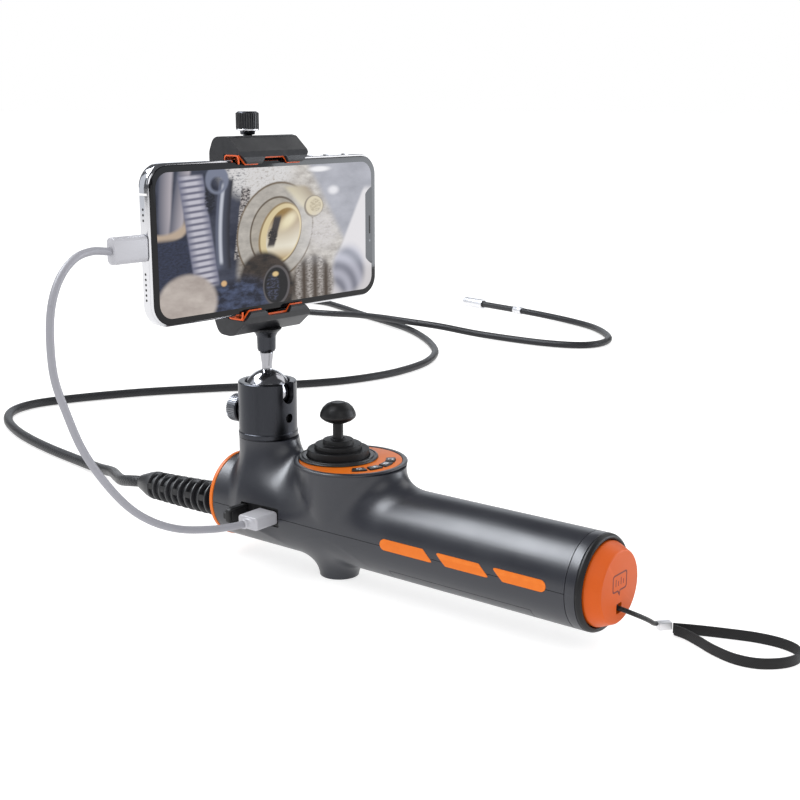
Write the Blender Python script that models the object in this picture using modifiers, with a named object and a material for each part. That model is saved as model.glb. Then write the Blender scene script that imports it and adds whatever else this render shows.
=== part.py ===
"""Hand-held inspection camera: a handle with a joystick and a phone clamp, and a snake cable
whose camera tip is bent by the joystick.  Metres, +Z up, the handle along X.

The origin is the middle of the tripod foot's flat bottom, and the snake cable and the wrist
strap lie on the plane z = 0.
"""
import bpy
import bmesh
import math
import numpy as np
from mathutils import Matrix, Vector

MM = 0.001

# Handle: a tube along X, parted along its middle plane
AXIS_Z = 30 * MM
HANDLE_R = 22 * MM

# Deck under the joystick, tower under the ball head, foot under the joystick
DECK_X = 8.1 * MM
DECK_TOP = 61 * MM
DECK_R = 28.1 * MM
TOWER_X = -47.5 * MM
FOOT_R = 9.75 * MM

# Joystick
PIVOT_Z = 56 * MM
BUTTON_ANGLES = (-38.5, -14.5, 9.5, 33.5)    # about the deck's own middle

# Ball head
BALL_R = 12 * MM
BALL_Z = 87.5 * MM
LOCK_Z = 76 * MM

# Phone and clamp, in a frame turned slightly about the tower's axis (local x = screen normal)
CLAMP_TURN = math.radians(-3.4)
PHONE_LENGTH = 152 * MM
PHONE_HEIGHT = 75.6 * MM
PHONE_BOTTOM = 129.9 * MM
PHONE_BACK = -1.4 * MM
PHONE_FRONT = 6.6 * MM
PHONE_MID_Z = PHONE_BOTTOM + PHONE_HEIGHT / 2
JAW_HALF = 22.5 * MM
ROD_X = -10.2 * MM           # guide rods and lead screw, behind the phone
ROD_Y = 14 * MM

# Snake cable and its bending tip
CABLE_R = 3.25 * MM
LINKS = 6
LINK_PITCH = 8 * MM
RING_START = Vector((-362, 727, 5.5)) * MM
TIP_DIRECTION = Vector((-0.978, 0.208, 0)).normalized()
RING_LENGTH = 13 * MM

# The cable's route, from the strain relief's nose to the ring before the tip
CABLE_ROUTE = [
    (-148.5, 0, 20.9), (-156, 0, 19.9), (-170, 4, 16.9), (-189, 16, 12.8), (-211, 30, 8.6), (-236, 39, 4.8), (-266, 46, 3.5),
    (-300, 52, 3.4), (-334, 60, 3.4), (-364, 70, 3.4), (-392, 84, 3.4), (-413, 103, 3.4),
    (-420, 126, 3.4), (-414, 151, 3.4), (-400, 182, 3.4), (-381, 214, 3.4), (-350, 255, 3.4),
    (-322, 288, 3.4), (-292, 331, 3.4), (-278, 370, 3.4), (-275, 405, 3.4), (-281, 445, 3.4),
    (-300, 484, 3.4), (-330, 518, 3.4), (-367, 549, 3.4), (-402, 572, 3.4), (-440, 590, 3.4),
    (-492, 611, 3.4), (-545, 636, 3.4), (-585, 650, 3.4), (-618, 641, 3.4), (-626, 610, 3.4),
    (-602, 586, 3.4), (-562, 586, 3.4), (-520, 591, 4.2), (-480, 585, 7.6), (-440, 576, 10.2), (-400, 571, 10.8),
    (-362, 576, 9.0), (-326, 584, 5.0), (-288, 588, 3.4), (-248, 589, 3.4), (-218, 598, 3.4),
    (-205, 616, 3.4), (-208, 643, 3.4), (-228, 671, 3.4), (-257, 696, 3.4), (-292, 713, 3.5),
    (-330, 722, 4.6), (-362, 727, 5.5),
]

# The phone lead's route, from the plug in the phone to the plug in the handle
LEAD_R = 1.8 * MM
LEAD_ROUTE = [
    (-50.7, -95.4, 167.7), (-51.3, -105, 168.6), (-50.6, -115, 166.3), (-49.6, -124, 159),
    (-48.5, -130, 148), (-47, -133, 134), (-45, -133.5, 117), (-42.5, -130, 101),
    (-40.8, -124, 84), (-39, -114, 67), (-37.6, -102, 52.5), (-36.2, -89, 42.5), (-34.6, -74, 35.5),
    (-32.6, -57, 31.4), (-30.4, -46, 30.2), (-28.8, -39.4, 30),
]

# Wrist strap: a thin cord from the end cap to a crimp, then a webbing loop on edge
STRAP_CORD_R = 1.1 * MM
STRAP_CORD_ROUTE = [
    (155.5, 0, 20.5), (160, 0.4, 20.1), (164, 4, 17.8), (165.4, 10.5, 14.2), (164.9, 17.5, 10.4),
    (163.9, 22.5, 7.6), (163.7, 25.8, 6.2),
]
CRIMP_AT = Vector((165.9, 29.2, 4.9)) * MM
CRIMP_TURN = math.radians(52)
STRAP_WIDTH = 5 * MM
STRAP_HALF_THICK = 0.55 * MM
STRAP_ROUTE = [
    (169.6, 32.2), (175.5, 31.0), (183, 27.6), (193, 22.6), (204, 19.6), (214, 21.4), (222, 28.6),
    (225, 37.6), (221.5, 44.6), (213, 47.6), (202, 46.8), (190, 43), (178, 38.4), (168.0, 33.8),
]

for old in list(bpy.data.objects):
    bpy.data.objects.remove(old, do_unlink=True)

parts = bpy.data.collections.new("inspection_camera")
cutters = bpy.data.collections.new("cutters")
bpy.context.scene.collection.children.link(parts)
bpy.context.scene.collection.children.link(cutters)


# Materials

def material(name, colour, roughness, metallic=0.0):
    made = bpy.data.materials.new(name)
    made.use_nodes = True
    shader = made.node_tree.nodes["Principled BSDF"]
    shader.inputs["Base Color"].default_value = (*colour, 1)
    shader.inputs["Roughness"].default_value = roughness
    shader.inputs["Metallic"].default_value = metallic
    return made


GRAPHITE = material("graphite_plastic", (0.045, 0.048, 0.055), 0.38)
ORANGE = material("orange_plastic", (0.85, 0.20, 0.02), 0.45)
BLACK_PLASTIC = material("black_plastic", (0.02, 0.02, 0.022), 0.42)
BLACK_RUBBER = material("black_rubber", (0.015, 0.015, 0.016), 0.7)
ORANGE_RUBBER = material("orange_rubber", (0.85, 0.18, 0.02), 0.6)
BLACK_METAL = material("black_anodised", (0.02, 0.02, 0.022), 0.32, 0.8)
CHROME = material("chrome", (0.8, 0.8, 0.82), 0.12, 1.0)
STEEL = material("steel", (0.6, 0.6, 0.62), 0.3, 1.0)
PHONE_BAND = material("phone_band", (0.85, 0.85, 0.87), 0.08, 1.0)
PHONE_GLASS = material("phone_glass", (0.02, 0.02, 0.025), 0.05)
LENS_GLASS = material("lens_glass", (0.03, 0.03, 0.04), 0.03)
WHITE = material("white_plastic", (0.75, 0.75, 0.78), 0.4)
LEAD = material("lead_jacket", (0.55, 0.55, 0.6), 0.5)
SNAKE = material("snake_jacket", (0.03, 0.032, 0.038), 0.55)
BOARD = material("circuit_board", (0.02, 0.12, 0.05), 0.5)
CELL = material("cell_sleeve", (0.05, 0.2, 0.45), 0.4)
WEBBING = material("webbing", (0.02, 0.02, 0.022), 0.8)


# Building blocks

def add(name, mesh, mat, cutter=False):
    made = bpy.data.objects.new(name, mesh)
    (cutters if cutter else parts).objects.link(made)
    if mat:
        mesh.materials.append(mat)
    if cutter:
        made.hide_render = True
        made.display_type = "WIRE"
    return made


def from_bmesh(name, bm, mat, cutter=False):
    mesh = bpy.data.meshes.new(name)
    bm.to_mesh(mesh)
    bm.free()
    mesh.shade_smooth()
    mesh.set_sharp_from_angle(angle=math.radians(35))
    return add(name, mesh, mat, cutter)


def box(name, low, high, mat=None, cutter=False, bevel=0.0):
    """A box between two corners, in millimetres."""
    low = Vector(low) * MM
    high = Vector(high) * MM
    bm = bmesh.new()
    bmesh.ops.create_cube(bm, size=1, matrix=Matrix.Diagonal((*(high - low), 1)))
    made = from_bmesh(name, bm, mat, cutter)
    made.location = (low + high) / 2
    if bevel:
        soften(made, bevel)
    return made


def soften(made, width, segments=1):
    bevel = made.modifiers.new("rounded", "BEVEL")
    bevel.width = width
    bevel.segments = segments
    bevel.angle_limit = math.radians(50)


def turned(name, profile, mat=None, steps=32, at=(0, 0, 0), along="Z", cutter=False, ring=False):
    """Turn a profile of (radius, height) pairs in millimetres, listed down its outer side."""
    bm = bmesh.new()
    verts = [bm.verts.new((r * MM, 0, z * MM)) for r, z in profile]
    pairs = list(zip(verts, verts[1:]))
    if ring:
        pairs.append((verts[-1], verts[0]))
    for a, b in pairs:
        bm.edges.new((a, b))
    mesh = bpy.data.meshes.new(name)
    bm.to_mesh(mesh)
    bm.free()
    made = add(name, mesh, mat, cutter)
    screw = made.modifiers.new("turned", "SCREW")
    screw.steps = steps
    screw.render_steps = steps
    screw.use_merge_vertices = True
    screw.merge_threshold = 0.00005
    screw.use_smooth_shade = True
    made.location = Vector(at) * MM
    if along == "X":
        made.rotation_euler = (0, math.radians(90), 0)
    if along == "Y":
        made.rotation_euler = (math.radians(-90), 0, 0)
    return made


def rod(name, radius, low, high, mat=None, at=(0, 0), along="Z", steps=24, cutter=False):
    """A plain cylinder between two heights on its axis, all in millimetres."""
    place = {"Z": (at[0], at[1], 0), "X": (0, at[0], at[1]), "Y": (at[0], 0, at[1])}[along]
    profile = [(0, high), (radius, high), (radius, low), (0, low)]
    return turned(name, profile, mat, steps, place, along, cutter)


def outline(name, points, low, high, mat=None, cutter=False, facing="Z"):
    """Extrude a closed flat outline (pairs in millimetres) between two heights."""
    curve = bpy.data.curves.new(name, "CURVE")
    curve.dimensions = "2D"
    curve.fill_mode = "BOTH"
    curve.extrude = (high - low) / 2 * MM
    loops = points if isinstance(points[0], list) else [points]
    for loop in loops:
        spline = curve.splines.new("POLY")
        spline.points.add(len(loop) - 1)
        spline.use_cyclic_u = True
        for point, (a, b) in zip(spline.points, loop):
            point.co = (a * MM, b * MM, 0, 1)
    made = to_mesh(name, curve, mat, cutter)
    middle = (low + high) / 2 * MM
    if facing == "Z":
        made.location = (0, 0, middle)
    if facing == "Y":                       # the pairs are (x, z)
        made.rotation_euler = (math.radians(90), 0, 0)
        made.location = (0, middle, 0)
    if facing == "X":                       # the pairs are (y, z)
        made.rotation_euler = (math.radians(90), 0, math.radians(90))
        made.location = (middle, 0, 0)
    return made


def to_mesh(name, curve, mat, cutter=False):
    """Replace a curve by its own mesh, with the caps welded on."""
    source = bpy.data.objects.new(name + "_curve", curve)
    parts.objects.link(source)
    graph = bpy.context.evaluated_depsgraph_get()
    mesh = bpy.data.meshes.new_from_object(source.evaluated_get(graph))
    bm = bmesh.new()
    bm.from_mesh(mesh)
    bmesh.ops.remove_doubles(bm, verts=bm.verts, dist=0.000002)
    bmesh.ops.recalc_face_normals(bm, faces=bm.faces)
    bm.to_mesh(mesh)
    bm.free()
    mesh.name = name
    mesh.shade_smooth()
    mesh.set_sharp_from_angle(angle=math.radians(35))
    mesh.materials.clear()
    bpy.data.objects.remove(source, do_unlink=True)
    return add(name, mesh, mat, cutter)


def smooth_route(route, count):
    """Evenly spaced points on a Catmull-Rom curve through the route's points, in metres."""
    knots = [np.array(p, float) * MM for p in route]
    knots = [2 * knots[0] - knots[1]] + knots + [2 * knots[-1] - knots[-2]]
    dense = []
    for p0, p1, p2, p3 in zip(knots, knots[1:], knots[2:], knots[3:]):
        for t in np.linspace(0, 1, 16, endpoint=False):
            dense.append(0.5 * (2 * p1 + (p2 - p0) * t + (2 * p0 - 5 * p1 + 4 * p2 - p3) * t * t
                                + (3 * p1 - p0 - 3 * p2 + p3) * t ** 3))
    dense.append(knots[-2])
    dense = np.array(dense)
    run = np.concatenate([[0], np.cumsum(np.linalg.norm(np.diff(dense, axis=0), axis=1))])
    wanted = np.linspace(0, run[-1], count)
    return np.stack([np.interp(wanted, run, dense[:, k]) for k in range(3)], axis=1)


def tube(name, points, radius, mat, scale=None, resolution=2):
    """A round tube along points in metres; scale gives each point's share of the radius."""
    curve = bpy.data.curves.new(name, "CURVE")
    curve.dimensions = "3D"
    curve.bevel_depth = radius
    curve.bevel_resolution = resolution
    curve.use_fill_caps = True
    spline = curve.splines.new("POLY")
    spline.points.add(len(points) - 1)
    for i, (knot, place) in enumerate(zip(spline.points, points)):
        knot.co = (*place, 1)
        knot.radius = scale[i] if scale else 1
    return to_mesh(name, curve, mat)


def combine(target, tool, operation):
    step = target.modifiers.new(operation.lower() + "_" + tool.name, "BOOLEAN")
    step.operation = operation
    step.object = tool


def cut(target, *tools):
    for tool in tools:
        combine(target, tool, "DIFFERENCE")


def join(target, *tools):
    for tool in tools:
        combine(target, tool, "UNION")


def arc(radius, start, end, count, cx=0.0, cy=0.0):
    """Points of an arc, angles in degrees."""
    angles = [math.radians(start + (end - start) * i / (count - 1)) for i in range(count)]
    return [(cx + radius * math.cos(a), cy + radius * math.sin(a)) for a in angles]


def rounded_rect(width, height, radius, count=5, cx=0.0, cy=0.0):
    points = []
    for sx, sy, start in ((1, 1, 0), (-1, 1, 90), (-1, -1, 180), (1, -1, 270)):
        points += arc(radius, start, start + 90, count,
                      cx + sx * (width / 2 - radius), cy + sy * (height / 2 - radius))
    return points


def knurled(radius, depth, teeth):
    """Outline of a knurled edge, a tooth every second point."""
    points = []
    for i in range(2 * teeth):
        a = math.pi * i / teeth
        r = radius if i % 2 == 0 else radius - depth
        points.append((r * math.cos(a), r * math.sin(a)))
    return points


# Housing: the handle, deck and tower melt into each other in wide concave fillets

def soft_min(a, b, width):
    share = max(width - abs(a - b), 0.0) / width
    return min(a, b) - share * share * width / 4


def deck_radius(z):
    """Radius in mm of the deck's leaning side wall at a height in mm."""
    return DECK_R / MM - (DECK_TOP / MM - z) * 0.197


def deck_fillet(x, y):
    """Width in mm of the blend around the deck: wide along the handle, none beside it."""
    along = abs(x - DECK_X / MM) / max(math.hypot(x - DECK_X / MM, y), 1)
    return 1 + 16 * along ** 2


def tower_fillet(x):
    """Width in mm of the blend around the tower: narrow towards the nose, wide elsewhere."""
    return min(max(17 + (x + 49) * 1.1, 4), 17)


def housing_distance(x, y, z):
    """Signed distance in mm, less than zero inside the handle, deck or tower."""
    handle = math.hypot(y, z - AXIS_Z / MM) - HANDLE_R / MM
    deck = max(math.hypot(x - DECK_X / MM, y) - deck_radius(z), 26 - z, z - 58)
    tower = max(math.hypot(x - TOWER_X / MM, y) - 15.0, 30 - z, z - 60)
    return soft_min(soft_min(handle, deck, deck_fillet(x, y)), tower, tower_fillet(x))


def housing_loft():
    """Rings of points around the handle's axis, each found where the distance is zero."""
    stations = [-67.4, -65.5] + list(np.arange(-62.5, 62, 5.0)) + [66, 74, 144]
    around = 40
    bm = bmesh.new()
    rings = []
    for x in stations:
        ring = []
        for k in range(around):
            a = 2 * math.pi * k / around
            near, far = 5.0, 60.0
            for _ in range(26):
                middle = (near + far) / 2
                inside = housing_distance(x, middle * math.cos(a), 30 + middle * math.sin(a)) < 0
                near, far = (middle, far) if inside else (near, middle)
            ring.append(bm.verts.new((x * MM, near * math.cos(a) * MM,
                                      AXIS_Z + near * math.sin(a) * MM)))
        rings.append(ring)
    for front, rear in zip(rings, rings[1:]):
        for k in range(around):
            n = (k + 1) % around
            bm.faces.new((front[k], front[n], rear[n], rear[k]))
    bm.faces.new(list(reversed(rings[0])))
    bm.faces.new(rings[-1])
    bmesh.ops.recalc_face_normals(bm, faces=bm.faces)
    return bm


def housing(name, keep_upper):
    shell = from_bmesh(name, housing_loft(), GRAPHITE)
    join(shell, deck_block, tower_block)
    if not keep_upper:
        join(shell, foot_block)
    cut(shell, handle_bore, deck_bore, bezel_bore, gimbal_bore, tower_bore)
    cut(shell, lower_half if keep_upper else upper_half)
    cut(shell, port_recess, port_hole, *inlay_recesses)
    if not keep_upper:
        cut(shell, door_opening, foot_thread)
    return shell


deck_block = turned("deck_block", [
    (0, 61), (27.6, 61), (28.1, 60.5), (deck_radius(48), 48), (0, 48)], at=(DECK_X / MM, 0, 0),
    steps=40, cutter=True)
tower_block = rod("tower_block", 15.2, 42, 64.3, at=(TOWER_X / MM, 0), steps=32, cutter=True)
foot_block = turned("foot_block", [
    (0, 20), (16.8, 20), (16.8, 11), (14.2, 8.2), (12, 5.6), (10.4, 3.2), (FOOT_R / MM, 1.6),
    (FOOT_R / MM, 0), (0, 0)], cutter=True)
foot_thread = rod("foot_thread", 3.2, -1, 7, cutter=True, steps=12)
handle_bore = rod("handle_bore", 19.3, -80, 150, at=(0, 30), along="X", steps=32, cutter=True)
deck_bore = turned("deck_bore", [
    (0, 63), (25.5, 63), (25.5, 59.2), (23.2, 59.2), (23.2, 55.5), (19, 36), (0, 36)],
    at=(DECK_X / MM, 0, 0), steps=40, cutter=True)
bezel_bore = rod("bezel_bore", 18.4, 58.9, 63, steps=36, cutter=True)
gimbal_bore = rod("gimbal_bore", 17.2, 36, 60, steps=32, cutter=True)
tower_bore = rod("tower_bore", 11, 36, 60, at=(TOWER_X / MM, 0), steps=24, cutter=True)
lower_half = box("lower_half", (-90, -60, -20), (170, 60, 30.15), cutter=True)
upper_half = box("upper_half", (-90, -60, 29.85), (170, 60, 90), cutter=True)

# Recess for the lead's plug, at the parting line below the tower
PORT_X = -28.5
port_recess = box("port_recess", (-45.9, -30, 25), (-21.2, -20.6, 34.8), cutter=True)
port_hole = box("port_hole", (PORT_X - 6.9, -23, 26.3), (PORT_X + 6.9, -15, 33.7), cutter=True)

# Orange inlays along the parting line, three on each side, with slanted ends
INLAY_Z = 31
INLAY_HALF = 2.7
INLAY_SLANT = 6
INLAY_SPANS = [(44, 72, True, False), (79, 103, False, False), (110, 135, False, True)]


def inlay_outline(front, rear, round_front, round_rear, grow):
    half = INLAY_HALF + grow
    slant = INLAY_SLANT * half / INLAY_HALF
    front -= grow
    rear += grow
    if round_front:
        left = arc(half, 90, 270, 7, front + half, INLAY_Z)
    else:
        left = [(front - slant / 2, INLAY_Z + half), (front + slant / 2, INLAY_Z - half)]
    if round_rear:
        right = arc(half, -90, 90, 7, rear - half, INLAY_Z)
    else:
        right = [(rear + slant / 2, INLAY_Z - half), (rear - slant / 2, INLAY_Z + half)]
    return left + right


inlay_recesses = []
for side, sign in (("right", -1), ("left", 1)):
    for number, span in enumerate(INLAY_SPANS, 1):
        faces = sorted((sign * 21.35, sign * 22.2))
        outline(f"grip_inlay_{side}_{number}", inlay_outline(*span, 0), *faces, ORANGE, facing="Y")
        faces = sorted((sign * 21.05, sign * 24))
        inlay_recesses.append(outline(f"inlay_recess_{side}_{number}", inlay_outline(*span, 0.3),
                                      *faces, cutter=True, facing="Y"))

# Cover over the cell, let into the underside of the lower housing
door_opening = box("door_opening", (46, -17.7, 0), (125, 17.7, 17.4), cutter=True)
door_window = box("door_window", (46.3, -17.4, 0), (124.7, 17.4, 17.1), cutter=True)
upper_housing = housing("upper_housing", True)
lower_housing = housing("lower_housing", False)
battery_door = turned("battery_door", [(22, 130), (22, 40), (19.4, 40), (19.4, 130)], GRAPHITE,
                      48, (0, 0, 30), "X", ring=True)
combine(battery_door, door_window, "INTERSECT")
door_screw_hole = rod("door_screw_hole", 2.3, 5, 16, at=(117, 0), steps=16, cutter=True)
cut(battery_door, door_screw_hole)
rod("door_screw", 2.0, 8.4, 13.5, STEEL, at=(117, 0), steps=16)

# Nose of the handle: orange ring, bulkhead and the cable's strain relief
turned("front_ring", [(22.3, -67.7), (22.3, -69.7), (20.3, -69.7), (20.3, -67.7)], ORANGE, 32,
       (0, 0, 30), "X", ring=True)
bulkhead = turned("front_bulkhead", [
    (0, -62.4), (19.0, -62.4), (19.0, -67.6), (20.0, -67.6), (20.0, -70.4), (0, -70.4)], BLACK_PLASTIC, 28,
    (0, 0, 30), "X")
cut(bulkhead, rod("bulkhead_hole", 7.3, -80, -60, at=(0, 23.5), along="X", cutter=True))


def strain_relief():
    """A ribbed boot that droops a little and narrows to its nose."""
    stations = [(-61.5, 7), (-70.7, 7), (-71, 9.5), (-78, 9.5), (-100, 8.9), (-130, 8), (-135, 7.2),
                (-140, 5), (-147.7, 4.2)]
    points = []
    for x, _ in stations:
        rise = 2.5 * min((x + 148) / 77, 1) ** 2
        points.append((x * MM, 0, (21 + rise) * MM))
    return tube("strain_relief", points, MM, BLACK_RUBBER, [r for _, r in stations], 4)


strain_relief()

# Tail of the handle: rubber ring and the orange cap over the charging socket
turned("end_ring", [
    (20.5, 152), (22.1, 151.3), (22.9, 149.5), (22.9, 146.3), (22.3, 144.3), (19.4, 144.3), (19.4, 152)],
    BLACK_RUBBER, 32, (0, 0, 30), "X", ring=True)
end_cap = turned("end_cap", [
    (0, 158.6), (16.2, 158.6), (16.7, 158.2), (19.0, 152.6), (19.0, 142), (16.8, 142), (16.0, 152),
    (14.5, 156.4), (0, 156.4)], ORANGE, 28, (0, 0, 30), "X")
cut(end_cap, box("strap_hole", (154, -2.3, 18.4), (162, 2.3, 22.6), cutter=True))

# Deck: orange plate with four keys around the joystick
control_plate = turned("control_plate", [(0, 60.9), (25.2, 60.9), (25.2, 59.5), (0, 59.5)], ORANGE, 40,
                       (DECK_X / MM, 0, 0))
cut(control_plate, rod("plate_hole", 18.4, 58, 63, cutter=True, steps=32))


def key_outline(angle, grow):
    inner, outer = 17.4 - grow, 22.0 + grow
    half = 10.0 + math.degrees(grow / 19.7)
    middle = DECK_X / MM
    return (arc(inner, angle + half, angle - half, 4, middle) + arc(outer, angle - half, angle + half, 5, middle))


for number, angle in enumerate(BUTTON_ANGLES, 1):
    outline(f"button_{number}", key_outline(angle, 0), 57.9, 61.7, BLACK_PLASTIC)
    cut(control_plate, outline(f"button_window_{number}", key_outline(angle, 0.3), 58, 63, cutter=True))

turned("joystick_bezel", [
    (18.0, 62.2), (19.5, 62.0), (19.8, 61.6), (19.8, 61.2), (18.1, 61.2), (18.1, 59.6), (15.9, 59.6), (15.9, 62.2)],
    BLACK_PLASTIC, 28, ring=True)
turned("joystick_boot", [
    (7.5, 70.2), (7.6, 68), (11.7, 68), (11.8, 65.7), (15.4, 65.7), (15.5, 60.2), (14, 60.2), (13.9, 64.3),
    (10.2, 64.3), (10.1, 66.6), (6, 66.6), (5.9, 68.8), (3.2, 68.8), (3.2, 70.2)], BLACK_RUBBER, 20, ring=True)
turned("joystick_shaft", [(0, 81.3), (2.6, 81.3), (2.6, 59.5), (4.6, 58.4), (4.6, 53.6), (0, 53.6)], BLACK_METAL, 20)
turned("joystick_knob", [
    (0, 89), (2.8, 88.9), (5.4, 88), (7.5, 86.2), (8.7, 83.8), (9, 82.2), (8.7, 81.1), (6.8, 79.6),
    (4.6, 78.6), (2.9, 78.3), (2.9, 81.6), (0, 81.6)], BLACK_RUBBER, 18)
hub_pin = rod("hub_pin", 1.2, -10.4, 10.4, at=(0, PIVOT_Z / MM), along="X", steps=12, cutter=True)
join(bpy.data.objects["joystick_shaft"], hub_pin)
gimbal_ring = turned("gimbal_ring", [(12, 58), (12, 54), (8.4, 54), (8.4, 58)], STEEL, 20, ring=True)
ring_pin = rod("ring_pin", 1.2, -15, 15, at=(0, PIVOT_Z / MM), along="Y", steps=12, cutter=True)
ring_core = rod("ring_core", 8.4, 50, 62, cutter=True, steps=20)
join(gimbal_ring, ring_pin)
cut(gimbal_ring, ring_core, rod("hub_pin_hole", 1.5, -14, 14, at=(0, PIVOT_Z / MM), along="X", steps=12,
                                cutter=True))
gimbal_base = turned("gimbal_base", [(16.6, 58.9), (16.6, 45), (3, 45), (3, 47.5), (13.2, 47.5), (13.2, 58.9)],
                     BLACK_PLASTIC, 24, ring=True)
cut(gimbal_base, rod("ring_pin_hole", 1.5, -20, 20, at=(0, PIVOT_Z / MM), along="Y", steps=12, cutter=True))
control_board = turned("control_board", [(0, 57.3), (22.6, 57.3), (22.6, 56.1), (0, 56.1)], BOARD, 32,
                       (DECK_X / MM, 0, 0))
cut(control_board, rod("board_hole", 17.2, 50, 60, cutter=True, steps=32),
    box("board_trim", (-30, -30, 50), (-6, 30, 60), cutter=True))
turned("battery_cell", [(0, 122), (3, 122), (3, 121), (9, 121), (9, 57), (0, 57)], CELL, 24, (0, 0, 30), "X")
box("usb_port", (PORT_X - 5.2, -18.8, 27.9), (PORT_X + 5.2, -10, 32.1), STEEL, bevel=0.8 * MM)

# Ball head on the tower
socket = turned("ball_socket", [
    (0, 69.6), (12.4, 69.6), (12.4, 87.5), (12.2, 90), (11.3, 92.6), (11.2, 93.4), (14.7, 93.4),
    (15.2, 92.9), (15.2, 64.6), (0, 64.6)], BLACK_METAL, 28, (TOWER_X / MM, 0, 0))
cut(socket, box("socket_slot", (TOWER_X / MM + 6, -3.9, 87), (TOWER_X / MM + 20, 3.9, 95), cutter=True),
    rod("slot_round", 3.9, TOWER_X / MM + 6, TOWER_X / MM + 20, at=(0, 87), along="X", cutter=True, steps=20),
    rod("socket_eye", 2.4, TOWER_X / MM + 6, TOWER_X / MM + 20, at=(0, 75.6), along="X", cutter=True, steps=16),
    rod("lock_hole", 2.4, TOWER_X / MM - 20, TOWER_X / MM - 6, at=(0, LOCK_Z / MM), along="X", cutter=True, steps=12))
lock_knob = turned("lock_knob", [(0, TOWER_X / MM - 12.8), (2.0, TOWER_X / MM - 12.8), (2.0, TOWER_X / MM - 15.6),
                                 (5.2, TOWER_X / MM - 15.9), (5.2, TOWER_X / MM - 17.2), (0, TOWER_X / MM - 17.2)],
                   BLACK_METAL, 20, (0, 0, LOCK_Z / MM), "X")
lock_head = outline("lock_head", knurled(7.25, 0.35, 16), TOWER_X / MM - 24.5, TOWER_X / MM - 17, cutter=True, facing="X")
lock_head.location.z = LOCK_Z
join(lock_knob, lock_head)
turned("ball_seat", [(0, 74), (5, 75.3), (8.6, 78.2), (11.2, 82.2), (12.1, 82.2), (12.1, 69.9), (0, 69.9)],
       BLACK_PLASTIC, 20, (TOWER_X / MM, 0, 0))


def ball_profile():
    points = [(0, 108.4), (3.4, 108.4), (3.4, 107.2), (2.5, 102)]
    for k in range(12):
        a = math.radians(78 - k * 14)
        points.append((BALL_R / MM * math.cos(a), BALL_Z / MM + BALL_R / MM * math.sin(a)))
    points.append((0, (BALL_Z - BALL_R) / MM))
    return points


turned("ball_stud", ball_profile(), CHROME, 20, (TOWER_X / MM, 0, 0))
turned("stud_sleeve", [(0, 117.7), (4.45, 117.7), (4.45, 109.2), (4.0, 108.7), (0, 108.7)], BLACK_METAL, 24,
       (TOWER_X / MM, 0, 0))

# Phone clamp, in its own frame at the tower's axis
clamp_axis = bpy.data.objects.new("clamp_axis", None)
parts.objects.link(clamp_axis)
clamp_axis.location = (TOWER_X, 0, 0)
clamp_axis.rotation_euler = (0, 0, CLAMP_TURN)


def on_clamp(*objects):
    for made in objects:
        made.parent = clamp_axis
    return objects[0]


def jaw(name, section, front_view, extra=()):
    """A jaw is its side section, trimmed by its front view."""
    half = JAW_HALF / MM
    made = outline(name, section, -half, half, BLACK_PLASTIC, facing="Y")
    face = outline(name + "_face", front_view, -20, 20, cutter=True, facing="X")
    on_clamp(made, face)
    combine(made, face, "INTERSECT")
    for tool in extra:
        on_clamp(tool)
    return made


lower_section = [(-13.4, 134), (-13.4, 127), (-12.6, 123.6), (-10.6, 120.6), (-7.4, 119.2), (-2, 119),
                 (1.2, 119.8), (8.2, 125.4), (10, 128.4), (10, 131), (9.2, 132), (7.9, 132), (7.9, 127.5),
                 (-2.9, 127.5), (-2.9, 158), (-4.6, 158), (-4.6, 136)]
lower_face = [(-21, 117), (21, 117), (22.5, 119), (22.5, 134), (13, 134.6), (13, 158), (-13, 158), (-13, 134.6),
              (-22.5, 134), (-22.5, 119)]
clamp_frame = jaw("clamp_frame", lower_section, lower_face)
nut_block = box("nut_block", (-13.4, -7, 144), (-4, 7, 157), cutter=True)
neck = rod("clamp_neck", 6.5, 118, 124, cutter=True, steps=24)
lower_notch = outline("lower_notch", [(-9.5, 133), (-7, 129.2), (7, 129.2), (9.5, 133)], 7.7, 14,
                      cutter=True, facing="X")
screw_hole = rod("screw_hole", 2.55, 130, 175, at=(ROD_X / MM, 0), cutter=True, steps=12)
rod_holes = [rod(f"rod_hole_{i}", 2.3, 124, 150, at=(ROD_X / MM, y), cutter=True, steps=12)
             for i, y in enumerate((-ROD_Y / MM, ROD_Y / MM), 1)]
on_clamp(nut_block, neck, lower_notch, screw_hole, *rod_holes)
join(clamp_frame, nut_block, neck)
cut(clamp_frame, lower_notch, screw_hole, *rod_holes)

upper_section = [(-13.4, 201.5), (-2.9, 201.5), (-2.9, 207.9), (7.9, 207.9), (7.9, 203.4), (9.2, 203.4),
                 (10, 204.4), (10, 207), (8.2, 210), (1.2, 215.6), (-2, 216.4), (-7.4, 216.2), (-10.6, 214.8),
                 (-12.6, 211.8), (-13.4, 208.4)]
upper_face = [(-22.5, 200), (22.5, 200), (22.5, 216), (21, 218), (-21, 218), (-22.5, 216)]
upper_jaw = jaw("upper_jaw", upper_section, upper_face)
upper_notch = outline("upper_notch", [(-9.5, 202.5), (9.5, 202.5), (7, 206.3), (-7, 206.3)], 7.7, 14,
                      cutter=True, facing="X")
upper_screw_hole = rod("upper_screw_hole", 2.55, 195, 220, at=(ROD_X / MM, 0), cutter=True, steps=12)
upper_rod_holes = [rod(f"upper_rod_hole_{i}", 2.3, 195, 213.4, at=(ROD_X / MM, y), cutter=True, steps=12)
                   for i, y in enumerate((-ROD_Y / MM, ROD_Y / MM), 1)]
on_clamp(upper_notch, upper_screw_hole, *upper_rod_holes)
cut(upper_jaw, upper_notch, upper_screw_hole, *upper_rod_holes)

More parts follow.
